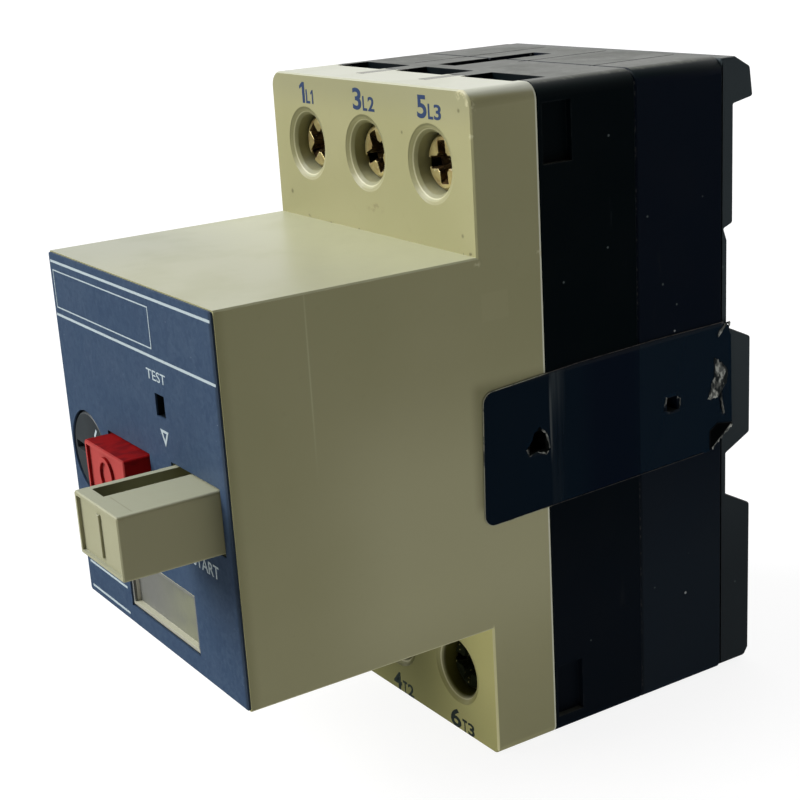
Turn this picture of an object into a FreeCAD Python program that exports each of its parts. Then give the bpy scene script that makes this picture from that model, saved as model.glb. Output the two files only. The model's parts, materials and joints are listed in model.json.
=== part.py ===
"""Three-pole motor protection circuit breaker with start and stop buttons, for a 35 mm rail.

Millimetres. x runs across the poles, y from the front of the nose to the rail, z upwards.
The origin is the middle of the face that sits on the rail.
"""
import FreeCAD, Part
import math
import os
import re
from collections import namedtuple

import Sketcher

doc = FreeCAD.newDocument("breaker")
Vector = FreeCAD.Vector

DIMENSIONS = (
    # Outline of the housing
    ("body_width", 45.0, "three poles wide"),
    ("body_top", 39.2, "upper end, from the rail's middle"),
    ("body_bottom", -42.6, "lower end"),
    ("nose_top", 20.65, "upper side of the raised nose"),
    ("nose_bottom", -25.25, "lower side of the raised nose"),
    ("plate_front", -72.3, "front of the face plate"),
    ("nose_front", -72.05, "front of the cover, behind the face plate"),
    ("nose_inside", -69.8, "back of the cover's front wall"),
    ("shoulder_front", -38.8, "front of the terminal shoulders"),
    ("shoulder_inside", -37.0, "back of the shoulders' front wall"),
    ("cover_back", -29.7, "where the cover meets the contact housing"),
    ("contact_back", -15.1, "where the contact housing meets the rear housing"),
    ("rear_back", -1.2, "where the rear housing meets the rail mount"),
    ("foot_back", 4.2, "rear of the feet"),
    ("wall", 1.8, "wall of the mouldings"),
    ("corner_round", 2.0, "upper corners of the outline"),
    ("base_round", 1.2, "lower corners of the outline"),
    ("edge_round", 0.2, "small edges of the cover"),
    ("seam_bevel", 0.25, "bevel where two mouldings meet"),
    ("groove", 0.3, "width of a groove along the upper end"),
    ("groove_sink", 0.25, "depth of a groove along the upper end"),
    # Poles and terminals
    ("pole_pitch", 14.1, "from pole to pole"),
    ("rib", 1.6, "partition between two poles"),
    ("upper_screw", 30.4, "height of the line terminal screws"),
    ("lower_screw", -33.85, "height of the load terminal screws"),
    ("access_bore", 3.65, "radius of a screwdriver hole"),
    ("access_bevel", 0.7, "bevel round a screwdriver hole"),
    ("sleeve_wall", 0.9, "wall of the sleeve behind the hole"),
    ("sleeve_back", -35.0, "end of the sleeve"),
    ("wire_half", 5.2, "half width of a wire entry"),
    ("wire_front", -30.5, "front edge of a wire entry"),
    ("strip_front", -25.8, "front of the terminal strips, back edge of a wire entry"),
    ("strip_back", -24.3, "back of the terminal strips, front of their seat"),
    ("seat_back", -22.5, "back of the strips' seat wall"),
    ("strip_half", 3.3, "half width of a current strip"),
    ("terminal_half", 4.4, "half width of a terminal head"),
    ("thread_bore", 2.0, "radius of the terminal's thread"),
    ("tongue_front", -34.6, "front of the partition tongues"),
    ("screw_front", -37.1, "front of a terminal screw's head"),
    ("screw_head", 3.4, "radius of a terminal screw's head"),
    ("head_back", -34.8, "under the screw's head"),
    ("shank", 1.95, "radius of a terminal screw's shank"),
    ("shank_end", -22.8, "tip of a terminal screw"),
    ("clamp_front", -34.75, "front of a clamp plate"),
    ("clamp_back", -33.55, "back of a clamp plate"),
    ("clamp_half", 4.2, "half width of a clamp plate"),
    # Screws that hold the housing together
    ("boss_across", 19.05, "housing screws, from the middle"),
    ("boss_upper", 22.6, "height of the upper housing screws"),
    ("boss_lower", -27.2, "height of the lower housing screws"),
    ("boss_half", 1.6, "half width of the pillar round a housing screw"),
    ("boss_bore", 1.05, "half width of the hole for a housing screw"),
    ("boss_screw", 0.7, "half width of a housing screw's square shank"),
    # Front controls
    ("start_left", 8.6, "start button"),
    ("start_right", 20.1, "start button"),
    ("start_low", -7.0, "start button"),
    ("start_high", 0.4, "start button"),
    ("start_front", -84.2, "front of the start button when off"),
    ("stop_left", -9.4, "stop button"),
    ("stop_right", 2.1, "stop button"),
    ("stop_low", -6.9, "stop button"),
    ("stop_high", -0.15, "stop button"),
    ("stop_front", -75.6, "front of the stop button"),
    ("button_gap", 0.3, "play round a button"),
    ("button_rim", 0.5, "rim round a button's sunk front"),
    ("button_sink", 0.4, "depth of a button's sunk front"),
    ("dial_across", -16.4, "setting dial"),
    ("dial_height", -4.5, "setting dial"),
    ("dial_radius", 5.3, "setting dial"),
    ("dial_gap", 0.25, "play round the setting dial"),
    ("test_left", 5.85, "test slot"),
    ("test_right", 8.25, "test slot"),
    ("test_low", 5.65, "test slot"),
    ("test_high", 8.35, "test slot"),
    ("window_left", -8.4, "rating window"),
    ("window_right", 10.8, "rating window"),
    ("window_low", -22.75, "rating window"),
    ("window_high", -15.0, "rating window"),
    ("card_floor", -70.5, "bottom of the rating card's recess"),
    ("tray_wall", 0.4, "wall of the rating window, which is a clear tray"),
    # Label on the right side
    ("label_length", 39.9, "side label"),
    ("label_height", 16.6, "side label"),
    ("label_film", 0.18, "side label"),
    ("label_middle_back", -19.35, "middle of the side label"),
    ("label_middle_up", -2.9, "middle of the side label"),
    # Contacts and trips
    ("pad_height", 10.0, "contact pads, from the middle"),
    ("pad_half", 2.0, "half width of a contact pad"),
    ("bridge_front", -31.9, "front of the moving contact bridges"),
    ("bridge_back", -30.7, "back of the moving contact bridges"),
    ("carrier_front", -39.5, "front of the contact carrier"),
    ("carrier_back", -35.5, "back of the contact carrier's bar"),
    ("coil_height", -20.5, "axis of the trip coils"),
    ("coil_front", -13.4, "trip coils"),
    ("coil_back", -4.4, "trip coils"),
    ("bracket_front", -48.6, "front wall of the mechanism bracket"),
    ("bracket_sheet", 0.8, "sheet of the mechanism bracket"),
    ("bracket_back", -41.0, "rear edge of the mechanism bracket"),
    ("trip_pivot_back", -44.0, "pivot of the trip frame"),
    ("trip_pivot_up", 15.0, "pivot of the trip frame"),
    ("latch_pivot_back", -45.4, "pivot of the latch lever"),
    ("latch_pivot_up", -10.0, "pivot of the latch lever"),
)

sheet = doc.addObject("Spreadsheet::Sheet", "dims")
for row, (alias, value, meaning) in enumerate(DIMENSIONS, 1):
    sheet.set(f"A{row}", meaning)
    sheet.set(f"B{row}", str(value))
    sheet.setAlias(f"B{row}", alias)
doc.recompute()

WORDS = {alias for alias, value, meaning in DIMENSIONS}
POLES = (-1, 0, 1)
SIDES = (-1, 1)
parts = {}

Circle = namedtuple("Circle", "u v radius")


def bound(text):
    """Makes the sheet's words in an expression refer to their cells."""
    return re.sub(r"[a-z_]+", lambda word: "dims." + word[0] if word[0] in WORDS else word[0], str(text))


def number(text):
    """The present value of an expression."""
    return float(sheet.evalExpression(bound(text)))


def pole_x(pole, offset=0):
    """Expression for a place across the pole that is numbered -1, 0 or 1."""
    return f"{pole} * pole_pitch + ({offset})"


def rect(left, right, low, high):
    """The four corners of an upright rectangle in a sketch."""
    return [(left, low), (right, low), (right, high), (left, high)]


def block(name, across, back, up):
    """A Part box between two expressions along each axis."""
    shape = doc.addObject("Part::Box", name)
    for size, axis, (low, high) in (("Length", "x", across), ("Width", "y", back), ("Height", "z", up)):
        shape.setExpression(size, bound(f"({high}) - ({low})"))
        shape.setExpression(f"Placement.Base.{axis}", bound(low))
    return shape


def rod(name, axis, radius, start, end, centre):
    """A Part cylinder along x, y or z; centre gives the other two places in the order x, y, z."""
    turn = {"x": (Vector(0, 1, 0), 90), "y": (Vector(1, 0, 0), -90), "z": (Vector(0, 0, 1), 0)}[axis]
    shape = doc.addObject("Part::Cylinder", name)
    shape.Placement = FreeCAD.Placement(Vector(), FreeCAD.Rotation(*turn))
    shape.setExpression("Radius", bound(radius))
    shape.setExpression("Height", bound(f"({end}) - ({start})"))
    others = iter(centre)
    for name_of_axis in "xyz":
        place = start if name_of_axis == axis else next(others)
        shape.setExpression(f"Placement.Base.{name_of_axis}", bound(place))
    return shape


def fuse(name, *shapes):
    """One solid of several Part solids."""
    result = doc.addObject("Part::MultiFuse", name)
    result.Shapes = list(shapes)
    result.Refine = True
    return result


def cut(name, base, tool):
    """The first Part solid without the second."""
    result = doc.addObject("Part::Cut", name)
    result.Base = base
    result.Tool = tool
    return result


def group(name, solids):
    """Several separate solids as one node."""
    result = doc.addObject("Part::Compound", name)
    result.Links = list(solids)
    return result


def keep(label, piece):
    """Notes a finished piece under the name of its node."""
    piece.Label = label
    parts[label] = piece
    return piece


class Moulding:
    """A PartDesign body made by pads and pockets between two levels along an axis."""

    PLANES = {"x": ("YZ_Plane", 1), "y": ("XZ_Plane", -1), "z": ("XY_Plane", 1)}

    def __init__(self, label):
        self.body = doc.addObject("PartDesign::Body", label)
        keep(label, self.body)

    def sketch(self, axis, level, loops):
        """A sketch square to the axis, with every point of its loops bound to the sheet."""
        role, sense = self.PLANES[axis]
        plane = next(each for each in self.body.Origin.OriginFeatures if each.Role == role)
        drawing = self.body.newObject("Sketcher::SketchObject", "outline")
        drawing.AttachmentSupport = (plane, [""])
        drawing.MapMode = "FlatFace"
        drawing.setExpression("AttachmentOffset.Base.z", bound(f"{sense} * ({level})"))
        for loop in loops:
            if isinstance(loop, Circle):
                self.draw_circle(drawing, loop)
            else:
                self.draw_polygon(drawing, loop)
        return drawing

    @staticmethod
    def bind(drawing, kind, where, text):
        """Adds one constraint and ties its value to an expression."""
        index = drawing.addConstraint(Sketcher.Constraint(kind, *where, number(text)))
        drawing.setExpression(f"Constraints[{index}]", bound(text))

    def draw_polygon(self, drawing, points):
        first = drawing.GeometryCount
        count = len(points)
        corners = [Vector(number(u), number(v), 0) for u, v in points]
        for i in range(count):
            drawing.addGeometry(Part.LineSegment(corners[i], corners[(i + 1) % count]))
        for i in range(count):
            after = first + (i + 1) % count
            drawing.addConstraint(Sketcher.Constraint("Coincident", first + i, 2, after, 1))
        for i, (u, v) in enumerate(points):
            self.bind(drawing, "DistanceX", (-1, 1, first + i, 1), u)
            self.bind(drawing, "DistanceY", (-1, 1, first + i, 1), v)

    def draw_circle(self, drawing, circle):
        centre = Vector(number(circle.u), number(circle.v), 0)
        shape = Part.Circle(centre, Vector(0, 0, 1), number(circle.radius))
        index = drawing.addGeometry(shape)
        self.bind(drawing, "DistanceX", (-1, 1, index, 3), circle.u)
        self.bind(drawing, "DistanceY", (-1, 1, index, 3), circle.v)
        self.bind(drawing, "Radius", (index,), circle.radius)

    def feature(self, kind, axis, start, end, loops):
        sense = self.PLANES[axis][1]
        drawing = self.sketch(axis, start, loops)
        made = self.body.newObject("PartDesign::" + kind, kind.lower())
        made.Profile = drawing
        made.setExpression("Length", bound(f"({end}) - ({start})"))
        made.Reversed = sense < 0 if kind == "Pad" else sense > 0
        drawing.Visibility = False

    def pad(self, axis, start, end, *loops):
        self.feature("Pad", axis, start, end, loops)

    def pocket(self, axis, start, end, *loops):
        doc.recompute()
        before = self.body.Shape.Volume
        self.feature("Pocket", axis, start, end, loops)
        doc.recompute()
        if self.body.Shape.Volume > before - 1e-3:
            raise ValueError(f"a pocket of {self.body.Label} removes nothing, from {start} to {end}")

    def edges(self, **levels):
        """Names of the edges whose ends all lie at the given x, y and z."""
        wanted = {axis: number(text) for axis, text in levels.items()}
        names = []
        for i, edge in enumerate(self.body.Tip.Shape.Edges, 1):
            box = edge.BoundBox
            spans = {"x": (box.XMin, box.XMax), "y": (box.YMin, box.YMax), "z": (box.ZMin, box.ZMax)}
            if all(abs(end - wanted[axis]) < 1e-3 for axis in wanted for end in spans[axis]):
                names.append(f"Edge{i}")
        return names

    def soften(self, kind, size, *places):
        """Rounds or bevels the edges found at the given places."""
        doc.recompute()
        self.dress(kind, size, {name for place in places for name in self.edges(**place)})

    def dress(self, kind, size, names):
        """Adds a fillet or chamfer on the named edges of the last feature."""
        base = self.body.Tip
        made = self.body.newObject("PartDesign::" + kind, kind.lower())
        made.Base = (base, sorted(names))
        made.setExpression("Radius" if kind == "Fillet" else "Size", bound(size))

    def place(self, across="0", back="0", up="0", axis=Vector(0, 0, 1), angle=0):
        """Moves the whole body; its sketches stay about its own origin."""
        self.body.Placement = FreeCAD.Placement(Vector(), FreeCAD.Rotation(axis, angle))
        for name, text in (("x", across), ("y", back), ("z", up)):
            self.body.setExpression(f"Placement.Base.{name}", bound(text))


HALF = "body_width / 2"
INNER = "body_width / 2 - wall"
COMPARTMENTS = (
    (f"-({INNER})", "-pole_pitch / 2 - rib / 2"),
    ("rib / 2 - pole_pitch / 2", "pole_pitch / 2 - rib / 2"),
    ("pole_pitch / 2 + rib / 2", INNER),
)
UPPER_CHAMBER = ("nose_top", "body_top - wall")
MIDDLE_CHAMBER = ("nose_bottom + wall", "nose_top - wall")
LOWER_CHAMBER = ("body_bottom + wall", "nose_bottom")
SCREW_LEVELS = ("upper_screw", "lower_screw")
GROOVES = ((-11.0, "contact_back - 8.5"), (1.9, "contact_back - 1.5"), (14.7, "contact_back - 0.5"))


def screw_circles(radius):
    """One circle at each of the six terminal screws."""
    return [Circle(pole_x(pole), level, radius) for level in SCREW_LEVELS for pole in POLES]


def screw_squares(half):
    """One upright square at each of the six terminal screws."""
    return [rect(pole_x(pole, f"-({half})"), pole_x(pole, half), f"{level} - ({half})", f"{level} + {half}")
            for level in SCREW_LEVELS for pole in POLES]


def boss_circles(radius):
    """One circle at each of the four housing screws."""
    return [Circle(f"{side} * boss_across", level, radius)
            for side in SIDES for level in ("boss_upper", "boss_lower")]


def boss_squares(half):
    """One upright square at each of the four housing screws."""
    return [rect(f"{side} * boss_across - {half}", f"{side} * boss_across + {half}",
                 f"{level} - {half}", f"{level} + {half}")
            for side in SIDES for level in ("boss_upper", "boss_lower")]


def wire_entries(moulding, front, back):
    """Opens the three wire entries through the upper and the lower wall."""
    mouths = [rect(pole_x(pole, "-wire_half"), pole_x(pole, "wire_half"), front, back) for pole in POLES]
    moulding.pocket("z", "body_top - wall", "body_top", *mouths)
    moulding.pocket("z", "body_bottom", "body_bottom + wall", *mouths)


def round_outline(moulding):
    """Rounds the long corners of a housing moulding."""
    for level, size in (("body_top", "corner_round"), ("body_bottom", "base_round")):
        moulding.soften("Fillet", size, *[{"x": f"{side} * {HALF}", "z": level} for side in SIDES])


def window_outline(inset):
    """Outline of the rating window, moved inwards."""
    return rect(f"window_left + ({inset})", f"window_right - ({inset})",
                f"window_low + ({inset})", f"window_high - ({inset})")


def groove_outline(across, front, back):
    """Outline of a groove along the upper end."""
    return rect(f"{across} - groove / 2", f"{across} + groove / 2", front, back)


def front_cover():
    cover = Moulding("front_cover")
    cover.pad("x", f"-{HALF}", HALF, [
        ("nose_front", "nose_bottom"), ("shoulder_front", "nose_bottom"),
        ("shoulder_front", "body_bottom"), ("cover_back", "body_bottom"),
        ("cover_back", "body_top"), ("shoulder_front", "body_top"),
        ("shoulder_front", "nose_top"), ("nose_front", "nose_top")])
    round_outline(cover)
    cover.soften("Chamfer", "edge_round",
                 {"y": "shoulder_front", "z": "body_top"}, {"y": "shoulder_front", "z": "body_bottom"},
                 *[{"x": f"{side} * {HALF}", "z": level} for side in SIDES
                   for level in ("nose_top", "nose_bottom")])
    cover.pocket("y", "nose_inside", "cover_back", rect(f"-({INNER})", INNER, *MIDDLE_CHAMBER))
    cover.pocket("y", "shoulder_inside", "cover_back",
                 rect(f"-({INNER})", INNER, *UPPER_CHAMBER), rect(f"-({INNER})", INNER, *LOWER_CHAMBER))
    cover.pad("y", "shoulder_inside", "sleeve_back", *screw_squares("access_bore + sleeve_wall"))
    cover.pocket("y", "shoulder_front", "sleeve_back", *screw_circles("access_bore"))
    bevel_access_holes(cover)
    cover.pad("y", "shoulder_inside", "cover_back", *boss_squares("boss_half"))
    cover.pocket("y", "cover_back - 4.5", "cover_back", *boss_squares("boss_bore"))
    wire_entries(cover, "wire_front", "cover_back")
    slots = [rect(f"{side} * pole_pitch / 2 - rib / 2 - 0.1", f"{side} * pole_pitch / 2 + rib / 2 + 0.1",
                  "tongue_front - 0.1", "cover_back") for side in SIDES]
    cover.pocket("z", "body_top - wall", "body_top", *slots)
    cover.pocket("z", "body_bottom", "body_bottom + wall", *slots)
    cover.pocket("y", "nose_front", "nose_inside", *front_openings(),
                 Circle("dial_across", "dial_height", 2.25))
    cover.pocket("y", "nose_front", "nose_front + 1.2",
                 Circle("dial_across", "dial_height", "dial_radius + dial_gap"))
    cover.pocket("y", "nose_front", "card_floor", window_outline("0.2"))
    cover.pad("y", "nose_inside", "nose_inside + 3.3",
              rect("test_left - 2.6", "test_left - 1.7", "test_low - 3", "test_high + 4.2"),
              rect("test_right + 1.7", "test_right + 2.6", "test_low - 3", "test_high + 4.2"))
    for start, end in ((INNER, HALF), (f"-{HALF}", f"-({INNER})")):
        cover.pocket("x", start, end, rect("cover_back - 2.6", "cover_back - 0.3",
                                           "label_middle_up - 1.2", "label_middle_up + 1.2"))


def bevel_access_holes(cover):
    """Bevels the six screwdriver holes of the cover at the shoulders' front."""
    doc.recompute()
    front = number("shoulder_front")
    radius = number("access_bore")
    names = [f"Edge{i}" for i, edge in enumerate(cover.body.Tip.Shape.Edges, 1)
             if isinstance(edge.Curve, Part.Circle) and abs(edge.Curve.Radius - radius) < 1e-6
             and abs(edge.BoundBox.YMin - front) < 1e-6 and abs(edge.BoundBox.YMax - front) < 1e-6]
    cover.dress("Chamfer", "access_bevel", names)


def front_openings():
    """Outlines of the openings for the buttons and the test slot."""
    gap = "button_gap"
    return [
        rect(f"start_left - {gap}", f"start_right + {gap}", f"start_low - {gap}", f"start_high + {gap}"),
        rect(f"stop_left - {gap}", f"stop_right + {gap}", f"stop_low - {gap}", f"stop_high + {gap}"),
        rect("test_left", "test_right", "test_low", "test_high"),
    ]


def face_plate():
    plate = Moulding("face_plate")
    plate.pad("y", "plate_front", "nose_front",
              rect(f"0.15 - {HALF}", f"{HALF} - 0.15", "nose_bottom + 0.15", "nose_top - 0.15"),
              *front_openings(), Circle("dial_across", "dial_height", "dial_radius + dial_gap"),
              window_outline("0"))
    plate.soften("Fillet", "0.35", *[{"x": f"{side} * ({HALF} - 0.15)", "z": level} for side in SIDES
                                     for level in ("nose_bottom + 0.15", "nose_top - 0.15")])


def rating_window():
    pane = Moulding("rating_window")
    front = "plate_front + 0.15"
    pane.pad("y", front, "card_floor - 0.3", window_outline("0.25"))
    pane.pocket("y", front, "card_floor - 0.85", window_outline("0.25 + tray_wall"))
    card = block("card", ("window_left + 0.4", "window_right - 0.4"), ("card_floor - 0.3", "card_floor"),
                 ("window_low + 0.4", "window_high - 0.4"))
    keep("rating_card", card)


def contact_housing():
    housing = Moulding("contact_housing")
    housing.pad("y", "cover_back", "contact_back", rect(f"-{HALF}", HALF, "body_bottom", "body_top"))
    round_outline(housing)
    housing.soften("Chamfer", "seam_bevel", {"y": "cover_back"}, {"y": "contact_back"})
    housing.pocket("y", "cover_back", "contact_back",
                   *[rect(*room, *MIDDLE_CHAMBER) for room in COMPARTMENTS])
    ends = [rect(*room, *chamber) for room in COMPARTMENTS for chamber in (UPPER_CHAMBER, LOWER_CHAMBER)]
    housing.pocket("y", "cover_back", "strip_back", *ends)
    housing.pocket("y", "seat_back", "contact_back", *ends)
    housing.pocket("y", "cover_back", "strip_back",
                   *[rect(pole_x(pole, "-strip_half - 0.2"), pole_x(pole, "strip_half + 0.2"),
                          "nose_top - wall", "nose_top") for pole in POLES])
    housing.pocket("y", "strip_back", "seat_back", *screw_squares("thread_bore + 0.3"),
                   *[rect(pole_x(pole, "-strip_half - 0.1"), pole_x(pole, "strip_half + 0.1"),
                          "lower_screw + 4.25", "lower_screw + 5.95") for pole in POLES])
    housing.pad("y", "cover_back", "contact_back", *boss_squares("boss_half"))
    housing.pocket("y", "cover_back", "contact_back", *boss_squares("boss_bore"))
    wire_entries(housing, "cover_back", "strip_front")
    housing.pad("y", "tongue_front", "cover_back",
                *[rect(f"{side} * pole_pitch / 2 - rib / 2", f"{side} * pole_pitch / 2 + rib / 2", low, high)
                  for side in SIDES
                  for low, high in (("nose_top + 1.5", "body_top"), ("body_bottom", "nose_bottom - 1.5"))])
    housing.pocket("z", "body_top - wall", "body_top", rect(-6.2, -2.4, "strip_front + 2.5", "contact_back"))
    housing.pocket("z", "body_top - groove_sink", "body_top",
                   *[groove_outline(across, front, "contact_back") for across, front in GROOVES])
    recesses = (rect("cover_back + 0.7", "strip_front + 1", "upper_screw - 0.6", "upper_screw + 6.4"),
                rect("cover_back + 0.5", "strip_front + 0.6", "lower_screw - 6.6", "lower_screw + 0.4"))
    housing.pocket("x", f"{HALF} - 0.9", HALF, *recesses)
    housing.pocket("x", f"-{HALF}", f"0.9 - {HALF}", *recesses)


def rear_housing():
    housing = Moulding("rear_housing")
    housing.pad("y", "contact_back", "rear_back", rect(f"-{HALF}", HALF, "body_bottom", "body_top"))
    round_outline(housing)
    housing.soften("Chamfer", "seam_bevel", {"y": "contact_back"}, {"y": "rear_back"})
    housing.pocket("y", "contact_back", "rear_back - wall",
                   *[rect(*room, LOWER_CHAMBER[0], UPPER_CHAMBER[1]) for room in COMPARTMENTS])
    housing.pocket("y", "contact_back", "rear_back - 3.3",
                   rect("-pole_pitch / 2 - rib", "pole_pitch / 2 + rib", 11.6, 15.4))
    housing.pad("y", "contact_back", "rear_back - wall / 2", *boss_squares("boss_half"))
    housing.pocket("y", "contact_back", "rear_back", *boss_squares("boss_bore"))
    housing.pocket("z", "body_top - wall", "body_top", rect(-6.2, -2.4, "contact_back", "contact_back + 7.3"))
    housing.pocket("z", "body_top - groove_sink", "body_top",
                   *[groove_outline(across, "contact_back", "rear_back - 0.9") for across, front in GROOVES])
    for start, end in ((INNER, HALF), (f"-{HALF}", f"-({INNER})")):
        housing.pocket("x", start, end, rect("contact_back + 4.5", "contact_back + 6.3",
                                             "label_middle_up - 0.9", "label_middle_up + 0.9"))


def rail_mount_plate():
    mount = Moulding("rail_mount_plate")
    side = f"{HALF} - 0.3"
    mount.pad("x", f"-({side})", side, [
        ("rear_back", "body_bottom + 0.4"), ("foot_back - 0.8", "body_bottom + 0.4"),
        ("foot_back", "body_bottom + 1.6"), ("foot_back", -19.8), (0, -17.55), (0, 16.5), (-0.55, 18.0),
        (0.95, 18.55), (0.95, 33.3), ("foot_back", 33.9), ("foot_back - 0.5", "body_top - 1.55"),
        (1.3, "body_top - 0.2"), ("rear_back", "body_top - 0.2")])
    lug = [(-0.3, 5.0), (0.5, 5.0), ("foot_back - 0.1", 3.3), ("foot_back - 0.1", -9.9), (0, -11.9),
           (-0.3, -11.9)]
    mount.pad("x", f"-({side})", -12, lug)
    mount.pad("x", 12, side, lug)
    hook = [(0.4, 22.0), (1.6, 22.0), (2.9, 20.6), (2.9, 16.6), (1.3, 16.6), (1.3, 17.9), (0.4, 18.4)]
    mount.pad("x", -11, -5, hook)
    mount.pad("x", 5, 11, hook)
    mount.pocket("z", "body_bottom", -21.0, rect(-6.6, 6.6, 1.0, 2.4))
    mount.pocket("z", "body_bottom", -16.5, rect(-5.2, 5.2, 1.0, "foot_back + 0.1"))
    mount.pocket("y", -0.4, 0.6, rect(-5.2, 5.2, -18.5, -16.0))
    mount.pad("y", 0.5, 2.8, rect(-1.3, 1.3, -34.0, -32.5))
    mount.pocket("y", "rear_back", 0.5, *boss_squares("boss_bore"))
    mount.pocket("y", -0.3, "foot_back + 0.1", *boss_circles("2.1"))


def rail_latch():
    latch = Moulding("rail_latch")
    latch.pad("z", "body_bottom + 1", -21.2, rect(-6.4, 6.4, 1.2, 2.2))
    latch.pad("z", "body_bottom + 1", -16.2, rect(-5.0, 5.0, 1.2, 3.4))
    latch.pocket("y", 1.2, 3.4, rect(-1.6, 1.6, -34.2, -24.0), rect(-2.5, 2.5, -40.6, -39.4))
    latch.pocket("x", -5, 5, [(2.2, -16.2), (3.4, -16.2), (3.4, -19.0)])


def side_label():
    label = Moulding("side_label")
    long = "label_length / 2"
    tall = "label_height / 2"
    label.pad("x", 0, "label_film", rect(f"-{long}", long, f"-{tall}", tall))
    label.soften("Fillet", "1.3", *[{"y": f"-{long}", "z": f"{side} * {tall}"} for side in SIDES])
    label.soften("Fillet", "1.2", {"y": long, "z": tall})
    torn_hole = [(-12.7, 1.0), (-11.9, 1.75), (-10.9, 1.3), (-10.4, 0.4), (-11.0, -0.75), (-11.9, -0.5)]
    small_hole = [(9.0, -0.4), (9.5, 0.2), (10.2, -0.1), (10.3, -0.9), (9.5, -1.25)]
    split = [(17.7, 2.9), (18.25, 1.6), (18.2, -0.4), (18.45, -2.6), (18.0, -2.8), (17.8, -0.6)]
    corner = [(f"{long} - 3.9", f"-{tall} - 0.1"), (f"{long} + 0.1", f"-{tall} - 0.1"),
              (f"{long} + 0.1", f"3 - {tall}")]
    label.pocket("x", 0, "label_film", torn_hole, small_hole, split, corner)
    label.place(HALF, "label_middle_back", "label_middle_up", Vector(1, 0, 0), 1.6)


def button(label, name, back, stem):
    """The push part of a front button: a block with a rimmed, sunk front, a stop flange and a stem."""
    push = Moulding(label)
    low, high, left, right, front = [f"{name}_{edge}" for edge in ("low", "high", "left", "right", "front")]
    push.pad("y", front, back, rect(left, right, low, high))
    push.soften("Fillet", "0.35", *[{"x": x, "z": z} for x in (left, right) for z in (low, high)])
    push.soften("Chamfer", "0.15", {"y": front})
    push.pocket("y", front, f"{front} + button_sink",
                rect(f"{left} + button_rim", f"{right} - button_rim",
                     f"{low} + button_rim", f"{high} - button_rim"))
    push.pad("y", "nose_inside + 0.3", "nose_inside + 1.8",
             rect(f"{left} + 1.7", f"{right} - 1.7", f"{low} - 1.6", f"{high} + 1.6"))
    middle = (f"({left} + {right}) / 2", f"({low} + {high}) / 2")
    for radius, start, end in stem:
        push.pad("y", start, end, Circle(*middle, radius))
    return push


def start_button():
    push = button("start_button", "start", -61.0, [(2.2, -61.0, -48.2)])
    push.pocket("z", "start_high - 2.2", "start_high",
                rect("start_left + 1.2", "start_left + 4.4", "start_front + 1.65", -64))


def stop_button():
    button("stop_button", "stop", -62.0, [(1.8, -62.0, -52.2), (0.6, -52.2, -46.4)])


def setting_dial():
    dial = Moulding("setting_dial")
    front = "plate_front + 0.1"
    dial.pad("y", front, "nose_front + 1.1", Circle(0, 0, "dial_radius"))
    dial.soften("Chamfer", "0.25", {"y": front})
    dial.pad("y", "nose_front + 1.1", -62, Circle(0, 0, 2.0))
    dial.pad("y", -66, -63, rect(-2.2, 3.4, -1.9, 1.9))
    dial.pocket("y", front, f"{front} + 0.8", rect(-4.6, 4.6, -0.55, 0.55))
    dial.place("dial_across", "0", "dial_height", Vector(0, 1, 0), 2)


def test_slider():
    slider = Moulding("test_slider")
    front = "nose_inside + 0.2"
    slider.pad("y", front, f"{front} + 2",
               rect("test_left - 1.5", "test_right + 1.5", "test_low - 2.2", "test_high + 3.2"))
    slider.pad("y", f"{front} + 2", "bracket_front - 2.5", rect(6.0, 8.0, 9.6, 11.1))
    slider.pocket("y", front, f"{front} + 0.8",
                  rect("test_left + 0.4", "test_right - 0.4", "test_low + 0.7", "test_high - 0.7"))


def mechanism_frame():
    bracket = Moulding("mechanism_frame")
    inner = f"{INNER} - bracket_sheet + 0.1"
    wall_back = "bracket_front + bracket_sheet"
    bracket.pad("z", -17, 18, [
        (f"-({INNER})", "bracket_front"), (INNER, "bracket_front"), (INNER, "bracket_back"),
        (inner, "bracket_back"), (inner, wall_back), (f"-({inner})", wall_back),
        (f"-({inner})", "bracket_back"), (f"-({INNER})", "bracket_back")])
    start_across, start_up = "(start_left + start_right) / 2", "(start_low + start_high) / 2"
    stop_across, stop_up = "(stop_left + stop_right) / 2", "(stop_low + stop_high) / 2"
    bracket.pocket("y", "bracket_front", wall_back,
                   *[rect(f"{across} - {half}", f"{across} + {half}", f"{up} - {half}", f"{up} + {half}")
                     for across, up, half in ((start_across, start_up, 3.4), (stop_across, stop_up, 1.2))])
    bracket.pocket("x", inner, INNER, Circle("trip_pivot_back", "trip_pivot_up", 1.25))
    bracket.pocket("x", f"-({INNER})", f"-({inner})", Circle("trip_pivot_back", "trip_pivot_up", 1.25))
    for x in (-7.3, -1.3):
        bracket.pad("x", x, x + 1.2, rect(wall_back, "latch_pivot_back + 1.8",
                                          "latch_pivot_up - 1.8", "latch_pivot_up + 1.8"))
    bracket.pocket("x", -7.3, -0.1, Circle("latch_pivot_back", "latch_pivot_up", 0.9))
    pin = rod("pin", "x", 0.85, -7.3, -0.1, ("latch_pivot_back", "latch_pivot_up"))
    keep("latch_pin", pin)


def latch_lever():
    lever = Moulding("latch_lever")
    lever.pad("x", -5.7, -1.7, [
        (-0.8, 8.5), (0.7, 8.5), (0.7, 1.2), (7.4, 1.0), (7.4, 4.5), (8.6, 4.5), (8.6, -1.0), (0, -1.8),
        (-0.8, -1.5)])
    lever.pocket("x", -5.7, -1.7, Circle(0, 0, 0.9))
    lever.place("0", "latch_pivot_back", "latch_pivot_up")


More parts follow.
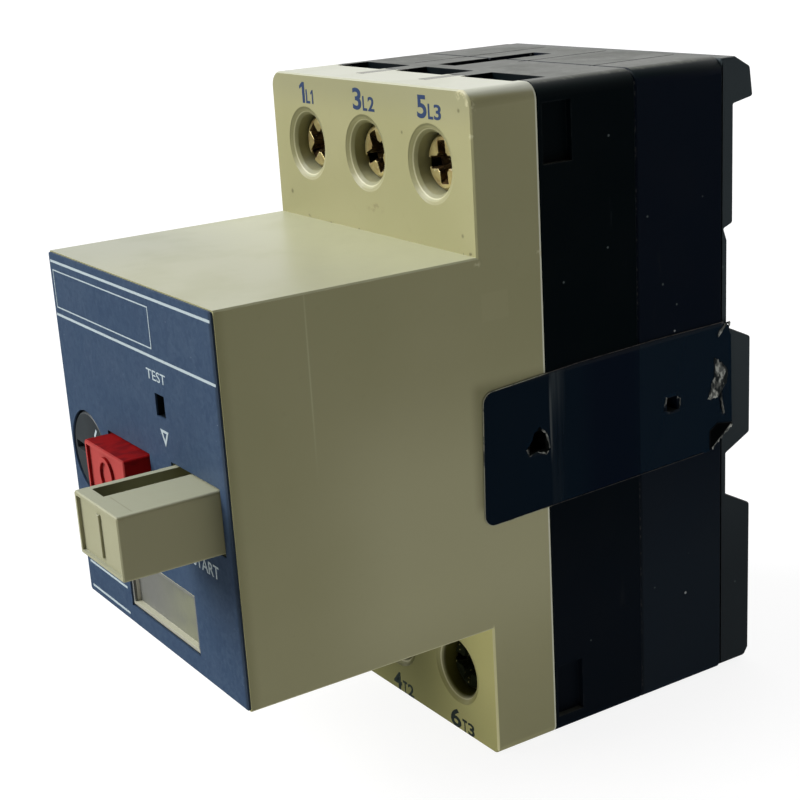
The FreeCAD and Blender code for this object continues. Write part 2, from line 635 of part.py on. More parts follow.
def trip_frame():
    frame = Moulding("trip_frame")
    frame.pad("y", -1, 1, [
        (-19.7, 1.5), (-18.6, 1.5), (-18.6, -33.8), (18.6, -33.8), (18.6, 1.5), (19.7, 1.5),
        (19.7, -37.2), (-19.7, -37.2)])
    frame.pad("x", 18.6, f"{INNER} - 0.1", Circle(0, 0, 1.2))
    frame.pad("x", f"0.1 - ({INNER})", -18.6, Circle(0, 0, 1.2))
    frame.place("0", "trip_pivot_back", "trip_pivot_up")


def contact_carrier():
    carrier = Moulding("contact_carrier")
    carrier.pad("y", "carrier_front", "carrier_back", rect(-18.2, 18.2, 0, 8))
    carrier.soften("Chamfer", "0.6", {"y": "carrier_front", "z": 0}, {"y": "carrier_front", "z": 8})
    for pole in POLES:
        for side in SIDES:
            near, far = (3.1, 4.0) if side > 0 else (-4.0, -3.1)
            carrier.pad("y", "carrier_back", "bridge_back + 1.3",
                        rect(pole_x(pole, near), pole_x(pole, far), 2, 6))
        carrier.pad("y", "bridge_back + 0.1", "bridge_back + 1.3",
                    rect(pole_x(pole, -4.0), pole_x(pole, 4.0), 2, 6))


def moving_contacts():
    for number_of_pole, pole in enumerate(POLES, 1):
        bar = block("bar", (pole_x(pole, -2.9), pole_x(pole, 2.9)), ("bridge_front", "bridge_back"),
                    ("-pad_height - 2.2", "pad_height + 2.2"))
        across = pole_x(pole, "-pad_half"), pole_x(pole, "pad_half")
        pads = [block("pad", across, ("bridge_back", "bridge_back + 0.8"),
                      (f"{side} * pad_height - pad_half", f"{side} * pad_height + pad_half"))
                for side in SIDES]
        keep(f"moving_contact_{number_of_pole}", fuse("bridge", bar, *pads))


def contact_pad(pole, level):
    """Outline of a contact pad of a pole."""
    return rect(pole_x(pole, "-pad_half"), pole_x(pole, "pad_half"),
                f"{level} - pad_half", f"{level} + pad_half")


def fixed_contacts():
    for number_of_pole, pole in enumerate(POLES, 1):
        line = Moulding(f"line_contact_{number_of_pole}")
        neck, head = "strip_half", "terminal_half"
        line.pad("y", "strip_front", "strip_back", [
            (pole_x(pole, f"-{neck}"), "pad_height - 2.2"), (pole_x(pole, neck), "pad_height - 2.2"),
            (pole_x(pole, neck), 26), (pole_x(pole, head), 26), (pole_x(pole, head), 36.6),
            (pole_x(pole, f"-{head}"), 36.6), (pole_x(pole, f"-{head}"), 26), (pole_x(pole, f"-{neck}"), 26)])
        line.pocket("y", "strip_front", "strip_back", Circle(pole_x(pole), "upper_screw", "thread_bore"))
        line.pad("y", "strip_front - 1", "strip_front", contact_pad(pole, "pad_height"))

        load = Moulding(f"load_contact_{number_of_pole}")
        load.pad("x", pole_x(pole, f"-{neck}"), pole_x(pole, neck), [
            ("strip_front", "2.2 - pad_height"), ("strip_front", "-pad_height - 4.5"),
            (-11, "-pad_height - 4.5"), (-11, "coil_height + 4.85"), (-9.5, "coil_height + 4.85"),
            (-9.5, "-pad_height - 3"), ("strip_back", "-pad_height - 3"), ("strip_back", "2.2 - pad_height")])
        load.pad("y", "strip_front - 1", "strip_front", contact_pad(pole, "-pad_height"))

        terminal = Moulding(f"load_terminal_{number_of_pole}")
        terminal.pad("y", "strip_front", "strip_back",
                     rect(pole_x(pole, f"-{head}"), pole_x(pole, head),
                          "body_bottom + 2.4", "lower_screw + 4.35"))
        terminal.pad("y", "strip_front", "coil_back + 0.3",
                     rect(pole_x(pole, f"-{neck}"), pole_x(pole, neck),
                          "lower_screw + 4.35", "lower_screw + 5.85"))
        terminal.pocket("y", "strip_front", "strip_back", Circle(pole_x(pole), "lower_screw", "thread_bore"))


def arc_chutes():
    pieces = []
    for pole in POLES:
        across = (pole_x(pole, -5), pole_x(pole, 5))
        for low, high, board in ((13.2, 18.0, (18.0, 18.8)), (-18.0, -13.2, (-18.8, -18.0))):
            pieces.append(block("arc_board", across, (-34.2, -26.6), board))
            for back in (-33.8, -31.8, -29.8, -27.8):
                pieces.append(block("arc_plate", across, (back, back + 0.8), (low, high)))
    keep("arc_chutes", group("chutes", pieces))


def polygon_coil(centre, axis, radius, wire, start, end, turns, sides):
    """A coil of square wire with straight segments, wound along y or z between two levels."""
    half = wire / 2
    rise = (end - start - wire) / (turns * sides)
    points = []
    for i in range(turns * sides + 1):
        angle = 2 * math.pi * (i + 0.5) / sides
        u, v, along = radius * math.cos(angle), radius * math.sin(angle), start + half + rise * i
        points.append(Vector(centre[0] + u, along, centre[1] + v) if axis == "y"
                      else Vector(centre[0] + u, centre[1] + v, along))
    path = Part.makePolygon(points)
    heading = (points[1] - points[0]).normalize()
    out = (Vector(0, 1, 0) if axis == "y" else Vector(0, 0, 1)).cross(heading).normalize()
    up = heading.cross(out)
    signs = ((-1, -1), (1, -1), (1, 1), (-1, 1))
    corners = [points[0] + out * (half * a) + up * (half * b) for a, b in signs]
    section = Part.makePolygon(corners + corners[:1])
    return path.makePipeShell([section], True, False, 1)


def coil_piece(name, *arguments):
    """A coil as an object of the document; no parametric feature sweeps a broken line with square corners."""
    piece = doc.addObject("Part::Feature", name)
    piece.Shape = polygon_coil(*arguments)
    return piece


def trip_coils():
    bobbins = []
    yokes = []
    for number_of_pole, pole in enumerate(POLES, 1):
        centre = (number(pole_x(pole)), number("coil_height"))
        coil = coil_piece("winding", centre, "y", 5.4, 1.4,
                          number("coil_front") + 0.2, number("coil_back") - 0.2, 4, 4)
        keep(f"trip_coil_{number_of_pole}", coil)
        square = block("tube", (pole_x(pole, -2.7), pole_x(pole, 2.7)), ("coil_front", "coil_back"),
                       ("coil_height - 2.7", "coil_height + 2.7"))
        inside = (pole_x(pole, -2.1), pole_x(pole, 2.1)), ("coil_height - 2.1", "coil_height + 2.1")
        bore = block("bore", inside[0], ("coil_front", "coil_back"), inside[1])
        bobbins.append(cut("bobbin", square, bore))
        across = (pole_x(pole, "-strip_half"), pole_x(pole, "strip_half"))
        pole_face = block("face", across, ("coil_front - 1", "coil_front"),
                          ("coil_height - 5.8", "coil_height + 4.6"))
        foot = block("foot", across, ("coil_front - 1", "coil_back - 0.2"),
                     ("coil_height - 5.8", "coil_height - 4.9"))
        window = block("window", inside[0], ("coil_front - 1", "coil_front"), inside[1])
        yokes.append(cut("yoke", fuse("angle", pole_face, foot), window))

        core, tip = [block("bar", (pole_x(pole, -half), pole_x(pole, half)), ends,
                           (f"coil_height - {half}", f"coil_height + {half}"))
                     for half, ends in ((2.0, ("coil_front + 1", "coil_back - 0.1")),
                                        (0.55, (-40.7, "coil_front + 1")))]
        keep(f"plunger_{number_of_pole}", fuse("plunger", core, tip))
    keep("coil_bobbins", group("bobbins", bobbins))
    keep("coil_yokes", group("yokes", yokes))


def bimetals():
    strips = [block("strip", (pole_x(pole, -2.5), pole_x(pole, 2.5)), ("coil_back + 0.3", "coil_back + 1.1"),
                    ("lower_screw + 4.35", 16.0)) for pole in POLES]
    keep("bimetal_strips", group("bimetals", strips))


def thermal_slide():
    slide = Moulding("thermal_slide")
    bar_front = "coil_back - 2.6"
    slide.pad("y", bar_front, "coil_back - 0.6", rect(-19.8, 18, 12, 15))
    slide.pad("y", bar_front, "coil_back - 0.6", rect(-19.8, -18.8, 2, 12))
    slide.pad("y", -41.2, bar_front, rect(-19.8, -18.8, 2, 5))


def springs():
    start_middle = (number("(start_left + start_right) / 2"), number("(start_low + start_high) / 2"))
    stop_middle = (number("(stop_left + stop_right) / 2"), number("(stop_low + stop_high) / 2"))
    bracket = number("bracket_front")
    carrier = number("carrier_front")
    single = (
        ("start_spring", start_middle, "y", 4.1, 0.7, -60.95, bracket - 0.05, 4),
        ("closing_spring", start_middle, "y", 2.6, 0.6, -48.1, carrier - 0.05, 3),
        ("stop_spring", stop_middle, "y", 2.7, 0.6, -61.95, bracket - 0.05, 5),
        ("rail_latch_spring", (0, 2.4), "z", 1.0, 0.4, -32.45, -24.05, 5),
    )
    for label, *shape in single:
        keep(label, coil_piece("coil", *shape, 6))
    behind_bar = number("carrier_back")
    contact = [coil_piece("contact_coil", (number(pole_x(pole)), 4), "y", 2.0, 0.5, behind_bar + 0.05,
                          number("bridge_front") - 0.05, 3, 6) for pole in POLES]
    keep("contact_springs", group("contact_coils", contact))
    opening = [coil_piece("opening_coil", (number(f"{side} * pole_pitch / 2"), 4), "y", 1.5, 0.5,
                          behind_bar + 0.05, number("cover_back") - 0.05, 3, 6) for side in SIDES]
    keep("opening_springs", group("opening_coils", opening))


def housing_screws():
    screws = []
    for side in SIDES:
        for level in ("boss_upper", "boss_lower"):
            centre = (f"{side} * boss_across", level)
            shank = block("screw_shank", (f"{centre[0]} - boss_screw", f"{centre[0]} + boss_screw"),
                          ("cover_back - 4", -0.3), (f"{level} - boss_screw", f"{level} + boss_screw"))
            head = rod("screw_head", "y", 1.95, -0.3, 0.8, centre)
            slot = block("screw_slot", (f"{centre[0]} - 2.1", f"{centre[0]} + 2.1"), (0.3, 0.9),
                         (f"{level} - 0.3", f"{level} + 0.3"))
            screws.append(cut("housing_screw", fuse("screw_blank", shank, head), slot))
    keep("housing_screws", group("screws", screws))


def terminal_screw(label, pole, level, angle):
    """A clamp screw with a cross recess in its head."""
    screw = Moulding(label)
    screw.pad("y", "screw_front", "head_back", Circle(0, 0, "screw_head"))
    screw.pad("y", "head_back", "shank_end", Circle(0, 0, "shank"))
    arm, half = 2.3, 0.6
    screw.pocket("y", "screw_front", "screw_front + 1.4", [
        (-arm, -half), (-half, -half), (-half, -arm), (half, -arm), (half, -half), (arm, -half),
        (arm, half), (half, half), (half, arm), (-half, arm), (-half, half), (-arm, half)])
    screw.place(pole_x(pole), "0", level, Vector(0, 1, 0), angle)


def terminals():
    turns = {"line": (12, -38, 24), "load": (-20, 41, -8)}
    for family, level in (("line", "upper_screw"), ("load", "lower_screw")):
        for number_of_pole, pole in enumerate(POLES, 1):
            terminal_screw(f"{family}_screw_{number_of_pole}", pole, level, turns[family][pole + 1])
            plate = block("washer", (pole_x(pole, "-clamp_half"), pole_x(pole, "clamp_half")),
                          ("clamp_front", "clamp_back"), (f"{level} - clamp_half", f"{level} + clamp_half"))
            hole = block("washer_hole", (pole_x(pole, "-shank - 0.1"), pole_x(pole, "shank + 0.1")),
                         ("clamp_front", "clamp_back"), (f"{level} - shank - 0.1", f"{level} + shank + 0.1"))
            keep(f"{family}_clamp_{number_of_pole}", cut("clamp", plate, hole))


for make in (front_cover, face_plate, rating_window, contact_housing, rear_housing, rail_mount_plate,
             rail_latch, side_label, start_button, stop_button, setting_dial, test_slider, mechanism_frame,
             latch_lever, trip_frame, contact_carrier, moving_contacts, fixed_contacts, arc_chutes,
             trip_coils, bimetals, thermal_slide, springs, housing_screws, terminals):
    make()

doc.recompute()
for item in doc.Objects:
    if "Invalid" in item.State or "Error" in item.State:
        raise ValueError(f"{item.Label} did not build: {item.State}")

os.makedirs("parts", exist_ok=True)
for label, piece in parts.items():
    shape = piece.Shape
    if not shape.isValid() or not shape.Solids:
        raise ValueError(f"{label} is not a sound solid")
    shape.exportStep(f"parts/{label}.step")
    print(f"{label}: {len(shape.Solids)} solid(s), {shape.Volume:.1f} mm3")
print(len(parts), "pieces")
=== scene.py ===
import json
import math

import bmesh
import bpy
from mathutils import Matrix, Quaternion, Vector, noise
from mathutils.geometry import delaunay_2d_cdt


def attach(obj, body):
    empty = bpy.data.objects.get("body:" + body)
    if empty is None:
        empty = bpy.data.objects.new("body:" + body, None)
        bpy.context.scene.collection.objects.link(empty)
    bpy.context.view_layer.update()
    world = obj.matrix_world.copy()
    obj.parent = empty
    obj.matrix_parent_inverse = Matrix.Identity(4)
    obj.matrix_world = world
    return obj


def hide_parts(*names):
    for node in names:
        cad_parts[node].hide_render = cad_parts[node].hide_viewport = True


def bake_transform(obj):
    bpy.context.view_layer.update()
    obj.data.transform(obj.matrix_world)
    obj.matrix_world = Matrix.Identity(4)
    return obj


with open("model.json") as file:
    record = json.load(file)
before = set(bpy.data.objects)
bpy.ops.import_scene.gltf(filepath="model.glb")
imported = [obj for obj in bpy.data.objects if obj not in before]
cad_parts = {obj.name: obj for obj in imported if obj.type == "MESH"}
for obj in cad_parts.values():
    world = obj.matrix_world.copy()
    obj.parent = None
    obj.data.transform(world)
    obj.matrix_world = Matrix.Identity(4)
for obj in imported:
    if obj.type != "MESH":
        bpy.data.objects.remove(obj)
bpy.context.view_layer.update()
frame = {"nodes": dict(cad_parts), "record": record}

MM = 0.001
NODES = frame["nodes"]
POLE_PITCH = 14.1
POLES = {1: -POLE_PITCH, 2: 0.0, 3: POLE_PITCH}
PLATE_FRONT = -72.3
SHOULDER_FRONT = -38.8
RIGHT_SIDE = 22.5
NOSE_TOP = 20.65
NOSE_BOTTOM = -25.25
COVER_BACK = -29.7
REAR_SEAM = -15.1
FLOOR_LEVEL = -42.6
FACING_FRONT = Matrix.Rotation(math.radians(90), 4, "X")
FACING_RIGHT = Matrix(((0, 0, 1, 0), (1, 0, 0, 0), (0, 1, 0, 0), (0, 0, 0, 1)))
SCREW_FRONT = -37.1
SCREW_LEVELS = {"line": 30.4, "load": -33.85}
# Near black for the folded corner of the film: its dark back with painted shade.
FOLD_SHADE = (0.0007, 0.0011, 0.0014)


def mm(x, y, z):
    """A point given in millimetres."""
    return Vector((x, y, z)) * MM


class Surface:
    """A node-based material. Each call adds one effect to its colour, roughness or relief."""

    def __init__(self, name, colour, roughness, metallic=0.0):
        self.material = bpy.data.materials.new(name)
        self.material.use_nodes = True
        self.tree = self.material.node_tree
        self.shader = self.tree.nodes["Principled BSDF"]
        self.shader.inputs["Metallic"].default_value = metallic
        self.place = self.add("ShaderNodeTexCoord").outputs["Object"]
        self.colour = colour
        self.roughness = roughness
        self.normal = None

    def add(self, kind, **settings):
        node = self.tree.nodes.new(kind)
        for key, value in settings.items():
            setattr(node, key, value)
        return node

    def feed(self, socket, value):
        """Links a socket's source to it, or sets it to a plain value."""
        if isinstance(value, bpy.types.NodeSocket):
            self.tree.links.new(value, socket)
        elif isinstance(value, tuple) and len(value) == 3 and socket.type == "RGBA":
            socket.default_value = (*value, 1.0)
        else:
            socket.default_value = value

    def math(self, operation, first, second=0.0):
        node = self.add("ShaderNodeMath", operation=operation, use_clamp=True)
        self.feed(node.inputs[0], first)
        self.feed(node.inputs[1], second)
        return node.outputs[0]

    def ramp(self, value, low, high, start=0.0, end=1.0):
        """Goes smoothly from start to end while the value goes from low to high."""
        node = self.add("ShaderNodeMapRange", interpolation_type="SMOOTHSTEP")
        for socket, number in zip(node.inputs[:5], (value, low, high, start, end)):
            self.feed(socket, number)
        return node.outputs[0]

    def stretched(self, stretch):
        node = self.add("ShaderNodeMapping")
        self.feed(node.inputs["Vector"], self.place)
        node.inputs["Scale"].default_value = stretch
        return node.outputs[0]

    def noise(self, size, detail=3.0, stretch=None):
        """Noise with features of about that size in millimetres."""
        node = self.add("ShaderNodeTexNoise")
        self.feed(node.inputs["Vector"], self.stretched(stretch) if stretch else self.place)
        node.inputs["Scale"].default_value = 1.0 / (size * MM)
        node.inputs["Detail"].default_value = detail
        return node.outputs["Fac"]

    def specks(self, spacing, radius, share):
        """Round specks: a share of cells of that spacing holds one of up to that radius."""
        node = self.add("ShaderNodeTexVoronoi")
        self.feed(node.inputs["Vector"], self.place)
        node.inputs["Scale"].default_value = 1.0 / (spacing * MM)
        parts = self.add("ShaderNodeSeparateColor")
        self.feed(parts.inputs[0], node.outputs["Color"])
        near = self.ramp(node.outputs["Distance"], 0.5 * radius / spacing, radius / spacing, 1.0, 0.0)
        chosen = self.ramp(parts.outputs[0], 1.0 - share, 1.01 - share)
        return self.math("MULTIPLY", near, chosen)

    def axis(self, letter):
        parts = self.add("ShaderNodeSeparateXYZ")
        self.feed(parts.inputs[0], self.place)
        return parts.outputs[letter]

    def along(self, letter, low, high, start=0.0, end=1.0):
        """Goes smoothly from start to end between two levels in millimetres."""
        return self.ramp(self.axis(letter), low * MM, high * MM, start, end)

    def patches(self, size, detail, low, high, stretch=None):
        """A mask of irregular patches: noise that is cut off softly between two values."""
        return self.ramp(self.noise(size, detail, stretch), low, high)

    def between(self, letter, low, high, soft=0.3):
        """A mask that is 1 between two levels, in millimetres, with soft ends."""
        rise = self.along(letter, low - soft, low + soft)
        fall = self.along(letter, high - soft, high + soft, 1.0, 0.0)
        return self.math("MULTIPLY", rise, fall)

    def both(self, *masks):
        result = masks[0]
        for mask in masks[1:]:
            result = self.math("MULTIPLY", result, mask)
        return result

    def near(self, point, radius, stretch=(1.0, 1.0, 1.0)):
        """A soft round mask about a point given in millimetres."""
        node = self.add("ShaderNodeVectorMath", operation="DISTANCE")
        self.feed(node.inputs[0], self.stretched(stretch))
        node.inputs[1].default_value = [c * s * MM for c, s in zip(point, stretch)]
        return self.ramp(node.outputs["Value"], 0.2 * radius * MM, radius * MM, 1.0, 0.0)

    def facing(self, letter, low=0.5, high=0.9):
        """A mask of the faces that look along an axis."""
        parts = self.add("ShaderNodeSeparateXYZ")
        self.feed(parts.inputs[0], self.add("ShaderNodeNewGeometry").outputs["Normal"])
        return self.ramp(parts.outputs[letter], low, high)

    def front(self):
        """A mask of the faces that look forwards."""
        return self.facing("Y", -0.5, -0.9)

    def off_axis(self, pitch, level):
        """The distance from the nearest of a row of axes that run from front to back."""
        across = self.add("ShaderNodeMath", operation="PINGPONG")
        self.feed(across.inputs[0], self.axis("X"))
        across.inputs[1].default_value = pitch / 2 * MM
        up = self.add("ShaderNodeMath", operation="SUBTRACT")
        self.feed(up.inputs[0], self.axis("Z"))
        up.inputs[1].default_value = level * MM
        flat = self.add("ShaderNodeCombineXYZ")
        self.feed(flat.inputs["X"], across.outputs[0])
        self.feed(flat.inputs["Z"], up.outputs[0])
        length = self.add("ShaderNodeVectorMath", operation="LENGTH")
        self.feed(length.inputs[0], flat.outputs[0])
        return length.outputs["Value"]

    def edges(self, width):
        """A mask of the sharp edges, of that width in millimetres."""
        node = self.add("ShaderNodeBevel", samples=6)
        node.inputs["Radius"].default_value = width * MM
        dot = self.add("ShaderNodeVectorMath", operation="DOT_PRODUCT")
        self.feed(dot.inputs[0], node.outputs[0])
        self.feed(dot.inputs[1], self.add("ShaderNodeNewGeometry").outputs["Normal"])
        return self.ramp(dot.outputs["Value"], 0.75, 0.98, 1.0, 0.0)

    def tint(self, mask, colour, amount=1.0):
        node = self.add("ShaderNodeMix", data_type="RGBA")
        self.feed(node.inputs["Factor"], self.math("MULTIPLY", mask, amount) if amount < 1.0 else mask)
        self.feed(node.inputs[6], self.colour)
        self.feed(node.inputs[7], colour)
        self.colour = node.outputs[2]

    def polish(self, mask, roughness):
        node = self.add("ShaderNodeMix", data_type="FLOAT")
        self.feed(node.inputs[0], mask)
        self.feed(node.inputs[2], self.roughness)
        self.feed(node.inputs[3], roughness)
        self.roughness = node.outputs[0]

    def relief(self, height, depth, strength=1.0):
        """Adds bumps of that depth in millimetres."""
        node = self.add("ShaderNodeBump")
        node.inputs["Strength"].default_value = strength
        node.inputs["Distance"].default_value = depth * MM
        self.feed(node.inputs["Height"], height)
        if self.normal is not None:
            self.feed(node.inputs["Normal"], self.normal)
        self.normal = node.outputs[0]

    def done(self, **sockets):
        self.feed(self.shader.inputs["Base Color"], self.colour)
        self.feed(self.shader.inputs["Roughness"], self.roughness)
        if self.normal is not None:
            self.feed(self.shader.inputs["Normal"], self.normal)
        for name, value in sockets.items():
            self.feed(self.shader.inputs[name.replace("_", " ")], value)
        return self.material


def beige_plastic(name, colour):
    """Aged beige plastic, still open for more effects."""
    s = Surface(name, colour, 0.34)
    pale = tuple(min(1.0, c * 1.35 + 0.02) for c in colour)
    dirty = tuple(c * f for c, f in zip(colour, (0.62, 0.58, 0.5)))
    s.tint(s.patches(28, 4, 0.35, 0.7), tuple(c * f for c, f in zip(colour, (0.93, 0.94, 0.9))))
    s.tint(s.patches(1.4, 5, 0.62, 0.8), dirty, 0.12)
    # Pale rubbed edges: partly wear, partly a painted highlight where the edges catch the light.
    worn_and_lit_edge = s.both(s.edges(0.25), s.patches(2.5, 4, 0.35, 0.6), s.along("Y", -71.8, -71.0))
    s.tint(worn_and_lit_edge, pale, 0.75)
    s.tint(s.specks(3.2, 0.13, 0.06), (0.05, 0.035, 0.02), 0.7)
    s.polish(s.patches(9, 5, 0.4, 0.75), 0.44)
    s.relief(s.noise(0.35, 2), 0.004)
    s.relief(s.noise(14, 2), 0.05, 0.5)
    return s


def cover_plastic():
    """The old beige of the cover: flow line, dark patches along the inner corner, smudges and worn edges,
    with painted light on what faces up and on the side, painted shade on the lower shoulder, and painted
    highlights and shade at edges, gaps and holes.
    """
    s = beige_plastic("beige_cover", (0.305, 0.291, 0.155))
    # Dark patches along the corner where the nose's top meets the shoulder's front.
    corner = s.both(s.between("Y", SHOULDER_FRONT - 0.5, SHOULDER_FRONT + 0.2, 0.15),
                    s.between("Z", NOSE_TOP - 0.2, NOSE_TOP + 0.4, 0.15), s.patches(1.1, 3, 0.62, 0.72))
    s.tint(corner, (0.05, 0.04, 0.015), 0.8)
    flow = s.both(s.between("Y", -61.45, -61.3, 0.1), s.between("Z", 4.0, 21.0, 6.0), s.facing("X"))
    s.tint(flow, (0.55, 0.54, 0.36), 0.35)
    s.tint(s.both(s.near((13.5, -54.2, NOSE_TOP), 4.0, (0.7, 1.6, 1.0)), s.patches(2.5, 4, 0.4, 0.6)),
           (0.16, 0.15, 0.07), 0.35)
    stain = s.both(s.near((1.3, SHOULDER_FRONT, 23.9), 2.6, (1.0, 1.0, 2.6)), s.patches(1.0, 4, 0.5, 0.65))
    s.tint(stain, (0.16, 0.13, 0.06), 0.5)
    # Painted light on what faces up: paler and greyer, darker towards the left and paler towards the
    # shoulder. The shoulder's front is darker towards its top.
    s.tint(s.facing("Z"), (0.35, 0.355, 0.245), 0.85)
    s.tint(s.both(s.facing("Z"), s.along("X", 4.0, -20.0)), (0.3, 0.31, 0.23), 0.8)
    s.tint(s.both(s.facing("Z"), s.along("Y", -62.0, -44.0)), (0.43, 0.435, 0.285), 0.8)
    s.tint(s.both(s.front(), s.along("Z", 34.0, 38.5)), (0.245, 0.24, 0.14), 0.7)
    lower_shoulder(s)
    # Painted light: paler still on the shoulder's top.
    s.tint(s.both(s.facing("Z"), s.along("Z", 37.0, 38.5)), (0.48, 0.49, 0.41), 0.8)
    # Painted light: a paler soft band low on the side of the nose.
    painted_side_light = s.both(s.facing("X"), s.between("Z", -26.0, 2.0, 8.0), s.along("Y", -66.0, -50.0))
    s.tint(painted_side_light, (0.4, 0.385, 0.225), 0.6)
    cover_edges(s)
    cover_dirt(s)
    access_rings(s)
    return s.done(Specular_IOR_Level=0.28)


def lower_shoulder(s):
    """The lower shoulder's front: olive and dull, painted shade of the nose's shadow, much paler towards
    its scraped right edge.
    """
    # Painted shadow of the nose on the lower shoulder's front.
    front = s.both(s.front(), s.along("Z", -24.5, -25.5))
    s.tint(front, (0.155, 0.152, 0.058), 0.95)
    pale_low = s.along("Z", -43.0, -32.0, 0.45, 1.0)
    s.tint(s.both(front, s.along("X", 4.0, 23.0), pale_low), (0.56, 0.53, 0.21))
    edge = s.both(s.between("X", RIGHT_SIDE - 0.3, RIGHT_SIDE + 0.1, 0.05), s.along("Z", -24.5, -25.5),
                  s.between("Y", SHOULDER_FRONT - 0.1, SHOULDER_FRONT + 0.2, 0.05))
    s.tint(edge, (0.62, 0.59, 0.32))


def cover_edges(s):
    """Painted highlights along the rear edge and the nose's lower edge, chips at the right shoulder's
    corner, and a darker band on the side next to the face.
    """
    # Painted highlights along the cover's rear edge and the nose's lower edge.
    rear_edge_highlight = s.both(s.between("Y", COVER_BACK - 0.22, COVER_BACK + 0.1, 0.06), s.facing("X"))
    s.tint(rear_edge_highlight, (0.66, 0.68, 0.55), 0.8)
    on_nose = s.along("Y", SHOULDER_FRONT - 0.2, SHOULDER_FRONT, 1.0, 0.0)
    lower_edge_highlight = s.between("Z", NOSE_BOTTOM - 0.1, NOSE_BOTTOM + 0.2, 0.06)
    s.tint(s.both(lower_edge_highlight, s.facing("X"), on_nose), (0.62, 0.6, 0.42), 0.5)
    chips = s.patches(0.7, 3, 0.52, 0.6)
    for spot, radius in (((20.7, SHOULDER_FRONT, 38.9), 1.3), ((22.3, SHOULDER_FRONT, 37.6), 1.2),
                         ((22.4, SHOULDER_FRONT, 34.4), 0.7), ((22.5, SHOULDER_FRONT, 19.9), 0.6),
                         ((22.5, COVER_BACK - 0.2, 19.8), 0.8)):
        s.tint(s.both(s.near(spot, radius), chips), (0.5, 0.47, 0.3), 0.7)
    beside_face = s.both(s.between("Y", -73.0, -71.2, 0.7), s.facing("X"))
    s.tint(beside_face, (0.2, 0.19, 0.085), 0.5)


def cover_dirt(s):
    """A darker band round the film, painted shade in the gaps of the face and dirt in single specks. Under
    the torn film it is dark.
    """
    # A darker band on the side round the film.
    halo = s.both(s.between("Y", -40.1, -29.0, 0.9), s.between("Z", -9.5, 5.7, 0.9), s.facing("X"))
    s.tint(halo, (0.1, 0.095, 0.03), 0.45)
    under_film = s.both(s.between("Y", -38.0, -29.5, 0.3), s.between("Z", -9.0, 2.0, 0.3),
                        s.along("X", 0.0, 20.0))
    s.tint(under_film, (0.0015, 0.002, 0.002))
    # Painted shade on the walls of the gaps round the test slot, the window and the dial.
    shaded_gaps = {"test_slot": ((5.5, 8.6), (5.3, 8.7), -66.0), "window": ((-8.6, 11.0), (-23.0, -14.8), -70.0),
            "dial": ((-22.2, -10.6), (-10.4, 1.4), -70.9)}
    for (left, right), (low, high), depth in shaded_gaps.values():
        gap = s.both(s.between("X", left, right, 0.05), s.between("Z", low, high, 0.05),
                     s.between("Y", -73.0, depth, 0.05))
        s.tint(gap, (0.004, 0.006, 0.008))
    square = s.both(s.between("Y", -38.45, -34.7, 0.1), s.between("Z", 13.1, 16.4, 0.1), s.facing("X"))
    s.tint(square, (0.36, 0.34, 0.19), 0.18)
    for spot, radius in (((-19.15, SHOULDER_FRONT, 23.7), 0.45), ((19.9, SHOULDER_FRONT, 22.8), 0.35),
                         ((20.2, SHOULDER_FRONT, 36.9), 0.35), ((8.4, SHOULDER_FRONT, 33.6), 0.3)):
        s.tint(s.near(spot, radius), (0.06, 0.05, 0.02), 0.6)


def access_rings(s):
    """Continues the bevel round the six screw holes outwards and paints a highlight along its inner edge.

    Painted shade darkens the wall inside every hole, and the lower holes much more.
    """
    for level in SCREW_LEVELS.values():
        radius = s.off_axis(POLE_PITCH, level)
        s.relief(s.ramp(radius, 4.3 * MM, 4.75 * MM), 0.3)
        # Painted shade on the hole's wall and a painted highlight on its inner edge.
        s.tint(s.ramp(radius, 3.95 * MM, 4.0 * MM, 1.0, 0.0), (0.17, 0.16, 0.085), 0.5)
        s.tint(s.both(s.ramp(radius, 3.97 * MM, 4.02 * MM), s.ramp(radius, 4.08 * MM, 4.14 * MM, 1.0, 0.0)),
               (0.6, 0.58, 0.4), 0.6)
    # Deep painted shade inside the lower holes.
    lower_hole_shade = s.ramp(s.off_axis(POLE_PITCH, SCREW_LEVELS["load"]), 3.7 * MM, 3.95 * MM, 1.0, 0.0)
    s.tint(lower_hole_shade, (0.05, 0.047, 0.008))


def button_plastic():
    """The start button's greyer beige, with painted shade on its sides, painted light on its top, and a
    darker line across its top as the painted shade of a moulding step.
    """
    s = beige_plastic("beige_button", (0.285, 0.28, 0.183))
    # Painted shade on the sides and painted light on the top.
    s.tint(s.facing("X"), (0.24, 0.225, 0.115), 0.6)
    s.tint(s.facing("Z"), (0.33, 0.34, 0.255), 0.7)
    # A darker line across the top: the painted shade of a moulding step.
    step = s.both(s.between("Y", -82.15, -82.0, 0.05), s.between("X", 13.6, 19.3, 0.6), s.facing("Z"))
    s.tint(step, (0.19, 0.185, 0.12), 0.45)
    s.polish(s.patches(3, 3, 0.0, 1.0), 0.6)
    return s.done(Specular_IOR_Level=0.12)


def red_plastic():
    """The stop button: faded on its front, rubbed on its edges and streaked on its top."""
    s = Surface("red_button", (0.2, 0.003, 0.004), 0.72)
    s.tint(s.patches(1.2, 5, 0.45, 0.62, (1.0, 0.5, 1.0)), (0.1, 0.002, 0.004), 0.7)
    s.tint(s.front(), (0.33, 0.052, 0.047), 0.9)
    s.tint(s.both(s.edges(0.25), s.patches(1.6, 4, 0.35, 0.6)), (0.5, 0.1, 0.085), 0.6)
    s.tint(s.specks(1.6, 0.09, 0.15), (0.5, 0.28, 0.24), 0.5)
    s.relief(s.noise(0.5, 3, (1.0, 0.25, 1.0)), 0.02)
    return s.done(Specular_IOR_Level=0.05)


